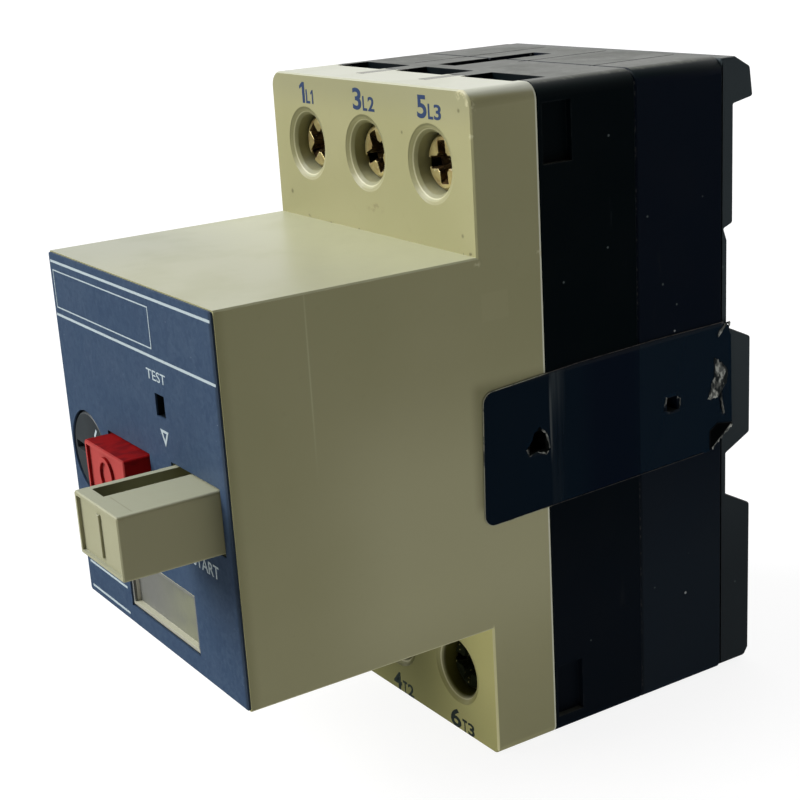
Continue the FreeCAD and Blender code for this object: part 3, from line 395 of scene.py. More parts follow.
def blue_film():
    """The printed plate: grainy dark blue with pale specks and painted shade along its right edge."""
    s = Surface("blue_face", (0.027, 0.05, 0.092), 0.5)
    s.tint(s.patches(14, 4, 0.35, 0.7), (0.032, 0.056, 0.098))
    s.tint(s.patches(0.2, 3, 0.5, 0.75), (0.044, 0.072, 0.112), 0.5)
    s.tint(s.patches(0.6, 4, 0.5, 0.62), (0.038, 0.065, 0.108), 0.6)
    s.tint(s.patches(0.7, 4, 0.5, 0.38), (0.022, 0.042, 0.082), 0.6)
    s.tint(s.specks(2.2, 0.1, 0.5), (0.24, 0.28, 0.32), 0.5)
    s.tint(s.specks(1.1, 0.07, 0.5), (0.14, 0.18, 0.24), 0.5)
    # Painted shade along the plate's right edge.
    s.tint(s.between("X", RIGHT_SIDE - 0.75, RIGHT_SIDE, 0.3), (0.013, 0.022, 0.036), 0.8)
    s.polish(s.patches(6, 5, 0.4, 0.75), 0.6)
    s.relief(s.noise(0.25, 2), 0.004)
    return s.done(Specular_IOR_Level=0.2)


def black_plastic(name, colour, foot_painted_light, dust_and_sheen=0.8):
    """Old black plastic with painted light towards its foot, bluer and paler on the housings, with dust and
    a painted sheen on what faces up and painted highlights on worn edges.
    """
    s = Surface(name, colour, 0.4)
    # Painted light: the colour goes to the foot colour lower down, for the floor's light and shade.
    s.tint(s.along("Z", 5.0, -30.0), foot_painted_light)
    top = s.facing("Z", 0.8, 0.97)
    # Dust with a painted sheen on what faces up.
    s.tint(s.both(s.facing("Z", 0.2, 0.6), s.facing("X", 0.1, 0.4)), (0.002, 0.0075, 0.008), dust_and_sheen)
    s.tint(top, (0.088, 0.093, 0.078), dust_and_sheen)
    s.tint(s.both(top, s.patches(0.9, 4, 0.5, 0.7)), (0.113, 0.119, 0.102), dust_and_sheen)
    s.tint(s.both(top, s.along("Y", COVER_BACK - 0.1, COVER_BACK - 0.5)), (0.3, 0.3, 0.26), dust_and_sheen)
    # Paler edges in patches: partly wear, partly a painted highlight.
    s.tint(s.both(s.edges(0.3), s.patches(2.2, 4, 0.35, 0.6)), (0.03, 0.033, 0.035), 0.5)
    s.tint(s.specks(4.2, 0.2, 0.9), (0.09, 0.11, 0.11), 0.7)
    s.tint(s.specks(8.0, 0.24, 0.9), (0.3, 0.32, 0.32), 0.8)
    s.tint(s.both(s.patches(1.1, 4, 0.66, 0.75, (1.0, 1.0, 0.15)), s.patches(12, 2, 0.5, 0.65)),
           (0.01, 0.013, 0.016), 0.5)
    seam = s.both(s.between("Y", REAR_SEAM - 0.1, REAR_SEAM + 0.1, 0.04), s.patches(0.6, 3, 0.52, 0.62))
    s.tint(seam, (0.08, 0.08, 0.075), 0.5)
    s.polish(s.patches(7, 5, 0.4, 0.75), 0.52)
    s.relief(s.noise(0.3, 2), 0.006)
    return s.done(Specular_IOR_Level=0.13)


def label_film():
    """Glossy dark film with a painted highlight at the crease where it leaves the cover."""
    s = Surface("label_film", (0.0022, 0.0078, 0.0155), 0.24)
    s.tint(s.between("Y", -23.5, REAR_SEAM, 2.0), (0.0017, 0.0046, 0.0125), 0.8)
    s.tint(s.between("Y", REAR_SEAM, 5.0, 0.05), (0.0035, 0.0105, 0.02))
    s.tint(s.specks(2.6, 0.08, 0.06), (0.2, 0.23, 0.23), 0.6)
    # Painted highlight at the crease: a bright line on it and pale streaks fading out behind it.
    streaks = s.patches(0.7, 3, 0.25, 0.8, (1.0, 1.0, 0.05))
    crease_sheen = s.both(s.along("Y", -29.3, -29.1), s.along("Y", -28.9, -26.4, 1.0, 0.0))
    s.tint(s.both(crease_sheen, streaks, s.along("Z", -4.0, 3.5, 0.25, 1.0)), (0.05, 0.062, 0.066), 0.9)
    bright = s.both(s.between("Y", -29.25, -29.0, 0.1), s.between("Z", -4.5, 3.0, 2.0))
    s.tint(bright, (0.075, 0.085, 0.085), 0.8)
    s.polish(s.patches(9, 1, 0.3, 0.75), 0.27)
    s.relief(s.noise(9, 1), 0.01, 0.5)
    return s.done(Specular_IOR_Level=0.3)


def torn_edge():
    """Pale torn film with dark dirt in it."""
    s = Surface("torn_film", (0.1, 0.105, 0.095), 0.5)
    s.tint(s.patches(0.4, 4, 0.45, 0.6, (1.0, 1.0, 0.5)), (0.36, 0.37, 0.33))
    s.tint(s.patches(1.0, 3, 0.5, 0.6, (1.0, 1.0, 0.6)), (0.01, 0.014, 0.015))
    s.relief(s.noise(0.3, 3), 0.05)
    return s.done(Specular_IOR_Level=0.2)


def film_edge():
    """The film's cut edge, painted pale as a highlight on the cover and dull on the black housing."""
    s = Surface("film_edge", (0.3, 0.3, 0.22), 0.5)
    s.tint(s.along("Y", -30.5, -29.0), (0.055, 0.05, 0.048))
    s.tint(s.patches(1.2, 4, 0.52, 0.65), (0.01, 0.012, 0.014), 0.8)
    return s.done(Specular_IOR_Level=0.2)


def window_pane():
    """A dull, nearly opaque pane with painted light and shade on its rims."""
    s = Surface("window_pane", (0.15, 0.153, 0.14), 0.35)
    s.tint(s.along("X", -4.0, 8.0), (0.185, 0.192, 0.135))
    s.tint(s.patches(3, 5, 0.45, 0.7), (0.145, 0.15, 0.13), 0.6)
    s.tint(s.specks(1.8, 0.09, 0.1), (0.04, 0.035, 0.03), 0.7)
    # Painted shade on the faces that look sideways, painted light on their front edge and on the faces that
    # look up.
    s.tint(s.facing("X"), (0.12, 0.12, 0.105))
    s.tint(s.both(s.facing("X"), s.between("Y", -71.8, -71.0, 0.03)), (0.55, 0.53, 0.44))
    s.tint(s.facing("Z"), (0.5, 0.5, 0.38))
    rim = s.both(s.between("Y", -72.3, -71.95, 0.02), s.front())
    s.tint(rim, (0.16, 0.165, 0.15))
    s.tint(s.both(rim, s.along("Z", -21.9, -22.2)), (0.36, 0.35, 0.28), 0.8)
    s.polish(s.patches(2, 5, 0.4, 0.7), 0.45)
    s.relief(s.noise(0.5, 3), 0.01)
    return s.done(Alpha=0.85, Specular_IOR_Level=0.3)


def plain_plastic(name, colour, roughness=0.45):
    s = Surface(name, colour, roughness)
    s.tint(s.patches(5, 4, 0.35, 0.7), tuple(c * 0.8 for c in colour))
    s.tint(s.both(s.edges(0.25), s.patches(1.5, 3, 0.35, 0.6)), tuple(c * 1.5 + 0.02 for c in colour), 0.5)
    s.polish(s.patches(4, 4, 0.4, 0.7), roughness + 0.1)
    s.relief(s.noise(0.4, 2), 0.006)
    return s.done(Specular_IOR_Level=0.25)


def ink(name, colour):
    s = Surface(name, colour, 0.5)
    s.tint(s.patches(0.3, 3, 0.55, 0.75), tuple(c * 0.75 for c in colour))
    s.polish(s.patches(1.2, 3, 0.4, 0.7), 0.6)
    return s.done(Specular_IOR_Level=0.2)


def metal(name, colour, stain, roughness, grain):
    """Stained metal with a grain, still open for more effects."""
    s = Surface(name, colour, roughness, metallic=1.0)
    s.tint(s.patches(1.1, 5, 0.45, 0.65), stain, 0.8)
    s.tint(s.patches(0.4, 3, 0.6, 0.75), tuple(c * 0.45 for c in colour), 0.6)
    s.polish(s.patches(0.8, 4, 0.4, 0.7), roughness + 0.18)
    s.relief(s.noise(0.25, 2, grain), 0.012)
    return s


def plating():
    """Yellow zinc on the terminal screws, pale on the worn lobes, with a little dirt."""
    s = Surface("yellow_zinc", (0.55, 0.46, 0.2), 0.3, metallic=0.7)
    s.tint(s.patches(1.6, 4, 0.5, 0.7), (0.34, 0.22, 0.08), 0.8)
    s.tint(s.patches(0.6, 3, 0.58, 0.72), (0.72, 0.69, 0.5), 0.7)
    s.polish(s.patches(0.8, 4, 0.4, 0.7), 0.42)
    s.relief(s.noise(0.6, 2), 0.01)
    return s.done()


def tarnish():
    """Plating of the lower screws, painted dark as the shade of their holes, with a few bright specks as
    painted glints.
    """
    s = Surface("painted_shade_zinc", (0.014, 0.018, 0.007), 0.5, metallic=0.5)
    # Painted glints: a few bright specks.
    s.tint(s.patches(0.5, 3, 0.64, 0.7), (0.5, 0.44, 0.2), 0.8)
    s.relief(s.noise(0.5, 2), 0.02)
    return s.done(Specular_IOR_Level=0.2)


def grime():
    """Old dirt and dull plating in a screw's recess."""
    s = Surface("recess_grime", (0.11, 0.065, 0.022), 0.35, metallic=0.7)
    s.tint(s.patches(0.7, 4, 0.4, 0.6), (0.03, 0.017, 0.006))
    s.tint(s.patches(0.45, 3, 0.62, 0.72), (0.6, 0.5, 0.25), 0.8)
    s.relief(s.noise(0.4, 3), 0.04)
    return s.done()


def make_materials():
    return {
        "beige_plastic": cover_plastic(),
        "beige_button": button_plastic(),
        "blue_plate": blue_film(),
        "clear_window": window_pane(),
        "pale_card": plain_plastic("rating_card", (0.2, 0.205, 0.195), 0.6),
        "black_plastic": black_plastic("black_housing", (0.0005, 0.003, 0.0042), (0.003, 0.006, 0.0108)),
        "rear_plastic": black_plastic("rear_housing", (0.002, 0.0052, 0.012), (0.0082, 0.014, 0.0215)),
        "rail_plastic": black_plastic("rail_plastic", (0.034, 0.045, 0.05), (0.018, 0.024, 0.028), 0.5),
        "fold_film": black_plastic("fold_film", FOLD_SHADE, FOLD_SHADE, 0.0),
        "label_film": label_film(),
        "red_plastic": red_plastic(),
        "dial_plastic": plain_plastic("dial_grey", (0.03, 0.036, 0.039)),
        "pale_plastic": plain_plastic("inner_plastic", (0.55, 0.52, 0.44)),
        "steel": metal("zinc_steel", (0.6, 0.61, 0.62), (0.42, 0.41, 0.38), 0.3, (1.0, 0.1, 1.0)).done(),
        "yellow_zinc": plating(),
        "copper": metal("copper", (0.74, 0.42, 0.27), (0.45, 0.24, 0.15), 0.3, (1.0, 0.15, 1.0)).done(),
        "white_ink": ink("white_ink", (0.34, 0.4, 0.42)),
        "navy_ink": ink("navy_ink", (0.02, 0.04, 0.1)),
        "slate_ink": ink("slate_ink", (0.018, 0.028, 0.026)),
        "torn_film": torn_edge(),
        "film_edge": film_edge(),
        "grime": grime(),
        "tarnish": tarnish(),
    }


def dress_nodes(materials):
    """Gives every CAD node its material, and the moulded ones rounded edges."""
    rounding = {"front_cover": 0.16, "start_button": 0.22, "stop_button": 0.12, "rear_housing": 0.14,
                "rail_mount_plate": 0.3, "rail_latch": 0.2, "setting_dial": 0.06, "rating_window": 0.05}
    own = {"rear_housing": "rear_plastic", "rail_mount_plate": "rail_plastic", "rail_latch": "rail_plastic",
           "test_slider": "black_plastic"}
    for row in frame["record"]["subparts"]:
        name = row["node"]
        node = NODES[name]
        node.data.materials.clear()
        node.data.materials.append(materials[own.get(name, row["material_slot"])])
        if name in rounding:
            weld = node.modifiers.new("weld", "WELD")
            weld.merge_threshold = 0.002 * MM
            round_edges(node, rounding[name], name != "rail_mount_plate")


def round_edges(piece, width, clamped=True):
    bevel = piece.modifiers.new("round_edges", "BEVEL")
    bevel.width = width * MM
    bevel.segments = 2
    bevel.use_clamp_overlap = clamped
    bevel.limit_method = "ANGLE"
    bevel.angle_limit = math.radians(40)
    bevel.harden_normals = True


def new_piece(name, mesh, materials, body):
    """Adds a mesh to the scene as a piece that rides on a body."""
    piece = bpy.data.objects.new(name, mesh)
    bpy.context.scene.collection.objects.link(piece)
    mesh.materials.clear()
    for material in materials:
        mesh.materials.append(material)
    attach(piece, body)
    return piece


def finished(name, shape, place):
    """Makes a mesh of a closed shape drawn in millimetres and puts it in its place."""
    bmesh.ops.recalc_face_normals(shape, faces=shape.faces)
    return placed(name, shape, place)


def placed(name, shape, place):
    mesh = bpy.data.meshes.new(name)
    shape.to_mesh(mesh)
    shape.free()
    mesh.transform(place @ Matrix.Scale(MM, 4))
    return mesh


def front_place(x, y, z, turn=0.0):
    """Puts a drawing on a surface that faces the front: its first axis runs right and its second up."""
    return Matrix.Translation(mm(x, y, z)) @ FACING_FRONT @ Matrix.Rotation(math.radians(turn), 4, "Z")


def slab(name, outline, hole, height, place):
    """A closed plate with an outline and, where given, a hole with as many points."""
    shape = bmesh.new()
    levels = []
    for level in (0.0, height):
        loops = [loop for loop in (outline, hole) if loop]
        levels.append([[shape.verts.new((u, v, level)) for u, v in loop] for loop in loops])
    count = len(outline)
    for step in range(count):
        after = (step + 1) % count
        for low, high in zip(*levels):
            shape.faces.new((low[step], low[after], high[after], high[step]))
        if hole:
            for outer, inner in levels:
                shape.faces.new((outer[step], outer[after], inner[after], inner[step]))
    if not hole:
        for (outer,) in levels:
            shape.faces.new(outer)
    return finished(name, shape, place)


def rectangle(left, right, low, high):
    return [(left, low), (right, low), (right, high), (left, high)]


def ellipse(half_width, half_height, count=40):
    steps = [2 * math.pi * step / count for step in range(count)]
    return [(half_width * math.cos(a), half_height * math.sin(a)) for a in steps]


def letters(name, text, bold):
    """A flat mesh of some letters."""
    curve = bpy.data.curves.new(name, "FONT")
    curve.body = text
    curve.offset = bold
    curve.extrude = 0.02
    drawn = bpy.data.objects.new(name, curve)
    bpy.context.scene.collection.objects.link(drawn)
    mesh = bpy.data.meshes.new_from_object(drawn.evaluated_get(bpy.context.evaluated_depsgraph_get()))
    bpy.data.objects.remove(drawn)
    bpy.data.curves.remove(curve)
    return mesh


def one(name):
    """A flat mesh of the number one, with its flag."""
    outline = [(0.2, 0.0), (0.38, 0.0), (0.38, 1.0), (0.23, 1.0), (0.0, 0.8), (0.0, 0.65), (0.2, 0.78)]
    return slab(name, outline, None, 0.04, Matrix.Scale(1.0 / MM, 4))


def word(name, mesh, height, left, low, y, length):
    """Gives a flat word its height and length and stands its left foot at a point of a front surface."""
    corners = [vert.co for vert in mesh.vertices]
    lows, highs = [[pick(c[axis] for c in corners) for axis in range(3)] for pick in (min, max)]
    print_height = 0.02
    sizes = (length, height, print_height)
    scale = [size / (last - first) for size, first, last in zip(sizes, lows, highs)]
    mesh.transform(Matrix.Diagonal((*scale, 1.0)) @ Matrix.Translation(-Vector(lows)))
    mesh.transform(front_place(left, y, low) @ Matrix.Scale(MM, 4))
    return mesh


def face_marks(materials):
    """White print on the blue plate: two long lines, an empty frame, a pointer, two words and two rules."""
    print_height = 0.03
    here = front_place(0, PLATE_FRONT, 0)
    marks = [(f"face_line_{level}", rectangle(-22.0, 22.0, z - 0.16, z + 0.16), None)
             for level, z in (("upper", 19.45), ("lower", 12.6))]
    marks.append(("face_frame", rectangle(-21.6, 6.4, 13.5, 18.4), rectangle(-21.45, 6.25, 13.65, 18.25)))
    marks.append(("test_pointer", [(6.4, 4.2), (7.475, 2.25), (8.55, 4.2)],
                  [(6.95, 3.9), (7.475, 2.95), (8.0, 3.9)]))
    marks.extend((f"face_rule_{level}", rectangle(-21.4, -9.5, z - 0.15, z + 0.15), None)
                 for level, z in (("upper", -20.75), ("lower", -24.25)))
    for name, outline, hole in marks:
        mesh = slab(name, outline, hole, print_height, here)
        new_piece(name, mesh, [materials["white_ink"]], "housing")
    words = [("test_word", "TEST", 1.2, 4.2, 9.8, 5.0), ("start_word", "START", 1.6, 11.5, -10.75, 6.55)]
    for name, text, height, left, low, length in words:
        mesh = word(name, letters(name, text, 0.006), height, left, low, PLATE_FRONT, length)
        new_piece(name, mesh, [materials["white_ink"]], "housing")


def terminal_numbers(materials):
    """Pole numbers on the two shoulders, each with a small terminal sign beside it."""
    digit_height, sign_height = 2.65, 1.75
    letter_gap, sign_gap, letter_width = 0.3, 1.5, 1.0
    rows = {"line": (35.55, "135", "L", -2.2, "navy_ink"), "load": (-42.4, "246", "T", -1.5, "slate_ink")}
    for family, (low, digits, letter, shift, colour) in rows.items():
        for pole, digit in zip(POLES, digits):
            left = POLES[pole] + shift + {"1": 1.1, "6": -0.5}.get(digit, 0.0)
            broad = {"1": 1.25, "6": 2.3}.get(digit, 1.95)
            right = left + broad
            sign_width = 0.6 if pole == 1 else 1.4
            signs = [(f"{family}_number_{pole}", digit, digit_height, left, broad),
                     (f"{family}_letter_{pole}", letter, sign_height, right + letter_gap, letter_width),
                     (f"{family}_sign_{pole}", str(pole), sign_height, right + sign_gap, sign_width)]
            for name, text, height, start, length in signs:
                mesh = one(name) if text == "1" else letters(name, text, 0.022)
                mesh = word(name, mesh, height, start, low, SHOULDER_FRONT, length)
                new_piece(name, mesh, [materials[colour]], "housing")


def button_signs(materials):
    """The raised bar on the start button, the raised ring on the stop button and the mark on the dial."""
    bar = slab("start_bar", rectangle(-0.4, 0.4, -2.5, 2.5), None, 0.3, front_place(14.25, -83.8, -3.4))
    round_edges(new_piece("start_bar", bar, [materials["beige_button"]], "start"), 0.1)
    ring = slab("stop_ring", ellipse(2.05, 2.3), ellipse(1.45, 1.7), 0.4, front_place(-4.0, -75.2, -3.55))
    round_edges(new_piece("stop_ring", ring, [materials["red_plastic"]], "stop"), 0.08)
    mark_place = front_place(-16.4, -72.2, -4.5, 54.0)
    mark = slab("dial_mark", rectangle(3.1, 4.4, -0.2, 0.2), None, 0.03, mark_place)
    new_piece("dial_mark", mark, [materials["white_ink"]], "dial")


def turned(profile, segments=44):
    """A shape turned about the third axis from points given as radius and height."""
    shape = bmesh.new()
    rings = []
    for radius, height in profile:
        rings.append([shape.verts.new((u, v, height)) for u, v in ellipse(radius, radius, segments)])
    for low, high in zip(rings, rings[1:]):
        for step in range(segments):
            after = (step + 1) % segments
            shape.faces.new((low[step], low[after], high[after], high[step]))
    shape.faces.new(rings[0])
    shape.faces.new(rings[-1])
    return shape


def tapered(outline, top, bottom, shrink):
    """A tool that narrows from its top to its bottom."""
    shape = bmesh.new()
    high = [shape.verts.new((u, v, top)) for u, v in outline]
    low = [shape.verts.new((u * shrink, v * shrink, bottom)) for u, v in outline]
    for step in range(len(outline)):
        after = (step + 1) % len(outline)
        shape.faces.new((low[step], low[after], high[after], high[step]))
    shape.faces.new(high)
    shape.faces.new(low)
    return shape


def cross(arm, half):
    """A four-armed outline."""
    corner = [(arm, -half), (arm, half), (half, half)]
    turns = [(1, 0, 0, 1), (0, -1, 1, 0), (-1, 0, 0, -1), (0, 1, -1, 0)]
    return [(a * u + b * v, c * u + d * v) for a, b, c, d in turns for u, v in corner]


def carve(name, blank, tools):
    """Cuts tools out of a mesh and returns the mesh that is left."""
    scene = bpy.context.scene
    work = bpy.data.objects.new(name, blank)
    scene.collection.objects.link(work)
    cutters = [bpy.data.objects.new("cutter", tool) for tool in tools]
    for cutter in cutters:
        scene.collection.objects.link(cutter)
        modifier = work.modifiers.new("cut", "BOOLEAN")
        modifier.object = cutter
        modifier.solver = "EXACT"
    mesh = bpy.data.meshes.new_from_object(work.evaluated_get(bpy.context.evaluated_depsgraph_get()))
    for done in [work, *cutters]:
        bpy.data.objects.remove(done)
    return mesh


def terminal_screw(name, x, z, turn):
    """A pan-head clamp screw with a slot and a cross in its head and a thread on its shank."""
    head, rim, shank, pitch = 3.4, 0.45, 1.95, 0.7
    head_back, length = -2.6, -14.4
    profile = [(2.4, 0.0), (2.95, -0.1), (head - 0.1, -rim), (head, -2 * rim), (head, head_back + 0.15),
               (head - 0.15, head_back), (shank, head_back)]
    turns = int((head_back - length) / pitch)
    for count in range(turns):
        level = head_back - count * pitch
        profile += [(shank, level - 0.1), (shank - 0.35, level - pitch / 2), (shank, level - pitch + 0.1)]
    place = front_place(x, SCREW_FRONT, z, turn)
    blank = finished(name, turned(profile), place)
    cross_tool = tapered(cross(2.75, 0.8), 0.3, -1.9, 0.45)
    star_tool = tapered(ellipse(1.5, 1.5, 8), 0.3, -2.0, 0.4)
    slot_tool = tapered(rectangle(-3.7, 3.7, -0.55, 0.55), 0.3, -1.0, 0.95)
    tools = [finished("tool", tool, place) for tool in (cross_tool, star_tool, slot_tool)]
    return carve(name, blank, tools)


def dirty_recess(mesh, x, z):
    """Gives the faces of a screw's recess the second material and its round ones smooth shading."""
    for face in mesh.polygons:
        depth = face.center.y / MM - SCREW_FRONT
        off_axis = math.hypot(face.center.x / MM - x, face.center.z / MM - z)
        face.material_index = int(depth > 0.3 and off_axis < 2.9)
        face.use_smooth = off_axis > 3.0


def terminal_screws(materials):
    turns = {"line": (45.0, 25.0, 5.0), "load": (-20.0, 41.0, -8.0)}
    finishes = {"line": ("yellow_zinc", "grime"), "load": ("tarnish", "tarnish")}
    for family, level in SCREW_LEVELS.items():
        head_and_recess = [materials[key] for key in finishes[family]]
        for pole, turn in zip(POLES, turns[family]):
            name = f"{family}_screw_{pole}"
            mesh = terminal_screw(f"{name}_detailed", POLES[pole], level, turn)
            piece = new_piece(f"{name}_detailed", mesh, head_and_recess, name)
            dirty_recess(mesh, POLES[pole], level)
            round_edges(piece, 0.09, False)
            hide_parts(name)


def pressed_springs():
    """Still copies of the springs in their place, with the CAD springs hidden. The resting and moving ends
    are worked out but not used.
    """
    moving_ends = {"start_spring": ("start", 1, min), "stop_spring": ("stop", 1, min),
                   "opening_springs": ("carrier", 1, min), "rail_latch_spring": ("rail_catch", 2, max)}
    for name, (body, axis, moving) in moving_ends.items():
        node = NODES[name]
        mesh = node.data.copy()
        mesh.transform(node.matrix_world)
        spring = bpy.data.objects.new(f"{name}_elastic", mesh)
        bpy.context.scene.collection.objects.link(spring)
        levels = [vert.co[axis] for vert in mesh.vertices]
        resting = max if moving is min else min
        start, end = Vector(), Vector()
        start[axis], end[axis] = resting(levels), moving(levels)
        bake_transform(spring)
        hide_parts(name)


LABEL_MIDDLE = (-19.35, -2.9)
LABEL_TILT = 1.6
LABEL_HALF = (20.3, 8.9)
LABEL_HOLES = {
    "torn_hole": [(-13.6, -0.3), (-13.2, -1.2), (-11.9, -1.0), (-10.6, -1.6), (-10.0, -0.9), (-10.4, 1.0),
                  (-11.4, 2.1), (-12.3, 1.5), (-12.7, 0.6)],
    "small_hole": [(8.1, -0.8), (8.6, 0.9), (10.1, 0.8), (11.0, 0.2), (10.8, -1.1), (9.3, -1.3)],
    "split": [(17.6, -0.2), (17.45, -1.4), (18.0, -3.5), (18.45, -3.6), (18.1, -1.8), (18.0, -0.3)],
}
LABEL_REAR = [(15.7, -8.2), (16.9, -7.5), (18.2, -6.2), (19.75, -5.2), (19.85, 6.6), (19.5, 7.3),
              (19.6, 7.9), (18.9, 8.2), (18.5, 8.6)]
CRUMPLED = [(16.9, 4.1), (16.8, 2.0), (16.1, 0.2), (15.5, -1.1), (17.3, -1.3), (18.2, -0.3), (19.0, 0.5),
            (19.2, 2.0), (18.1, 3.4)]
FOLDED = [(15.75, -8.1), (19.7, -5.2), (17.15, -4.7), (15.8, -5.5)]
TEAR_SEED = 3


def quarter(u, v, radius, start):
    """A quarter turn about a point, against the clock from a starting angle."""
    turns = [math.radians(start + 15 * step) for step in range(7)]
    return [(u + radius * math.cos(a), v + radius * math.sin(a)) for a in turns]


def label_outline():
    """The film's edge: rounded front corners, a nibbled upper rear corner and a torn lower rear one."""
    radius = 1.5
    low_bend = quarter(-20.25 + radius, -8.5 + radius, radius, 180)
    high_bend = quarter(-19.45 + radius, 8.15 - radius, radius, 90)
    return low_bend + LABEL_REAR + [(7.0, 8.8), (-5.0, 8.7)] + high_bend


def ragged(outline, step, amount, closed=True):
    """Divides an outline finely and shakes its new points a little, the same way each time."""
    points = []
    ends = outline[1:] + outline[:1] if closed else outline[1:]
    for (u, v), (next_u, next_v) in zip(outline, ends):
        count = max(1, round(math.hypot(next_u - u, next_v - v) / step))
        for part in range(count):
            share = part / count
            at = Vector((u + (next_u - u) * share, v + (next_v - v) * share, 0.0))
            shake = noise.noise_vector(at * 2.3) * amount
            points.append((at.x + shake.x, at.y + shake.y))
    return points


def inside(point, outline):
    """Whether a point lies in a closed outline."""
    u, v = point
    crossings = 0
    for (a, b), (c, d) in zip(outline, outline[1:] + outline[:1]):
        if (b > v) != (d > v) and u < a + (v - b) * (c - a) / (d - b):
            crossings += 1
    return crossings % 2 == 1


def film_height(u, v, holes):
    """How far the film stands off the side: slack waves, a crease, and lips round the tears."""
    height = 0.075 + 0.01 * noise.noise(Vector((u * 0.12, v * 0.15, 4.0)))
    crease = -9.4 + 0.03 * v
    height += 0.02 * math.exp(-((u - crease) / 0.6) ** 2)
    gap = min(math.hypot(u - a, v - b) for hole in holes for a, b in hole)
    height += 0.05 * math.exp(-gap / 0.45)
    return min(max(height, 0.06), 0.15)


def film(name, outline, holes, spacing, height, material):
    """A thin sheet on the right side, filled with triangles. A function gives each point's height."""
    columns, rows = [int(2 * half / spacing) for half in LABEL_HALF]
    grid = [(column * spacing - LABEL_HALF[0], row * spacing - LABEL_HALF[1])
            for column in range(1, columns) for row in range(1, rows)]
    inner = [p for p in grid if inside(p, outline) and not any(inside(p, hole) for hole in holes)]
    points = [Vector(p) for loop in [outline, *holes] for p in loop] + [Vector(p) for p in inner]
    edges = []
    first = len(outline)
    for hole in holes:
        edges += [(first + step, first + (step + 1) % len(hole)) for step in range(len(hole))]
        first += len(hole)
    flat, _, triangles, *_ = delaunay_2d_cdt(points, edges, [list(range(len(outline)))], 1, 1e-6)
    shape = bmesh.new()
    verts = [shape.verts.new((p.x, p.y, height(p.x, p.y))) for p in flat]
    for triangle in triangles:
        middle = sum((flat[corner] for corner in triangle), Vector((0.0, 0.0))) / 3
        if not any(inside(middle, hole) for hole in holes):
            shape.faces.new([verts[corner] for corner in triangle])
    bmesh.ops.delete(shape, geom=[vert for vert in shape.verts if not vert.link_faces], context="VERTS")
    piece = new_piece(name, placed(name, shape, label_place()), [material], "housing")
    thicken(piece, 0.04)
    return piece


def side_film(materials):
    """The torn adhesive film on the right side."""
    outline = ragged(label_outline(), 0.6, 0.03)
    holes = [ragged(hole, 0.3, 0.14) for hole in LABEL_HOLES.values()]

    def height(u, v):
        return film_height(u, v, holes)

    piece = film("side_film", outline, holes, 0.6, height, materials["label_film"])
    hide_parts("side_label")


def crumpled_foil(materials):
    """The pale, crumpled layer that shows where the film is torn near its rear edge."""
    def height(u, v):
        return 0.14 + 0.03 * noise.noise(Vector((u * 2.6, v * 1.1, 2.0)))

    film("crumpled_foil", ragged(CRUMPLED, 0.2, 0.22), [], 0.16, height, materials["torn_film"])


def label_place():
    middle = mm(RIGHT_SIDE, *LABEL_MIDDLE)
    return Matrix.Translation(middle) @ Matrix.Rotation(math.radians(LABEL_TILT), 4, "X") @ FACING_RIGHT


def thicken(piece, thickness):
    """Gives a sheet its thickness, inwards, and smooth shading."""
    solid = piece.modifiers.new("film", "SOLIDIFY")
    solid.thickness = thickness * MM
    solid.offset = -1.0
    for face in piece.data.polygons:
        face.use_smooth = True


def strip(name, rows, material):
    """A narrow strip on the right side through rows of points, one row for each step along it."""
    shape = bmesh.new()
    lines = [[shape.verts.new(point) for point in row] for row in rows]
    for line, after in zip(lines, lines[1:]):
        for column in range(len(line) - 1):
            shape.faces.new((line[column], after[column], after[column + 1], line[column + 1]))
    piece = new_piece(name, placed(name, shape, label_place()), [material], "housing")
    thicken(piece, 0.02)


def beside(path):
    """Each point of a path with the direction that points to its left."""
    for (u, v), (next_u, next_v) in zip(path, path[1:]):
        along = Vector((next_u - u, next_v - v)).normalized()
        yield u, v, -along.y, along.x


def torn_lip(name, path, width, materials):
    """A curled strip of pale, torn film along a tear. It lies to the left of its path."""
    rows = []
    for u, v, left, up in beside(ragged(path, 0.22, 0.12, closed=False)):
        wild = noise.noise(Vector((u * 2.1, v * 2.1, 7.0)))
        reach = width * (0.75 + 0.9 * wild)
        curl = ((-0.12, 0.09), (0.1 * width, 0.15 + 0.02 * wild), (0.55 * reach, 0.172),
                (reach, 0.13 + 0.04 * wild))
        rows.append([(u + left * away, v + up * away, height) for away, height in curl])
    strip(name, rows, materials["torn_film"])


def film_rim(materials):
    """The film's cut edge with its painted highlight, along its lower, front and upper sides."""
    path = label_outline()
    path = path[len(LABEL_REAR) + 6:] + path[:8]
    profile = ((-0.02, 0.07), (0.03, 0.13), (0.09, 0.13))
    rows = [[(u + left * away, v + up * away, height) for away, height in profile]
            for u, v, left, up in beside(ragged(path, 0.5, 0.0, closed=False))]
    strip("film_rim", rows, materials["film_edge"])


def label_tears(materials):
    """Pale curled strips at the tears, and the corner of the film folded back on itself."""
    torn, small, split = LABEL_HOLES.values()
    torn_lip("tear_low", torn[:5], 0.2, materials)
    torn_lip("tear_right", torn[4:7], 0.22, materials)
    torn_lip("tear_small_front", small[:2][::-1], 0.22, materials)
    torn_lip("tear_small_rear", small[2:5][::-1], 0.3, materials)
    torn_lip("tear_split", split[3:], 0.3, materials)
    torn_lip("tear_top", [(17.6, 6.8), (18.5, 7.7), (19.4, 8.3), (19.8, 7.4)], 0.45, materials)
    # The folded corner is near black: the film's dark back with painted shade under the lifted corner.
    mesh = slab("label_fold", FOLDED, None, 0.165, label_place())
    new_piece("label_fold", mesh, [materials["fold_film"]], "housing")
    torn_lip("tear_fold", FOLDED[1::-1], 0.42, materials)


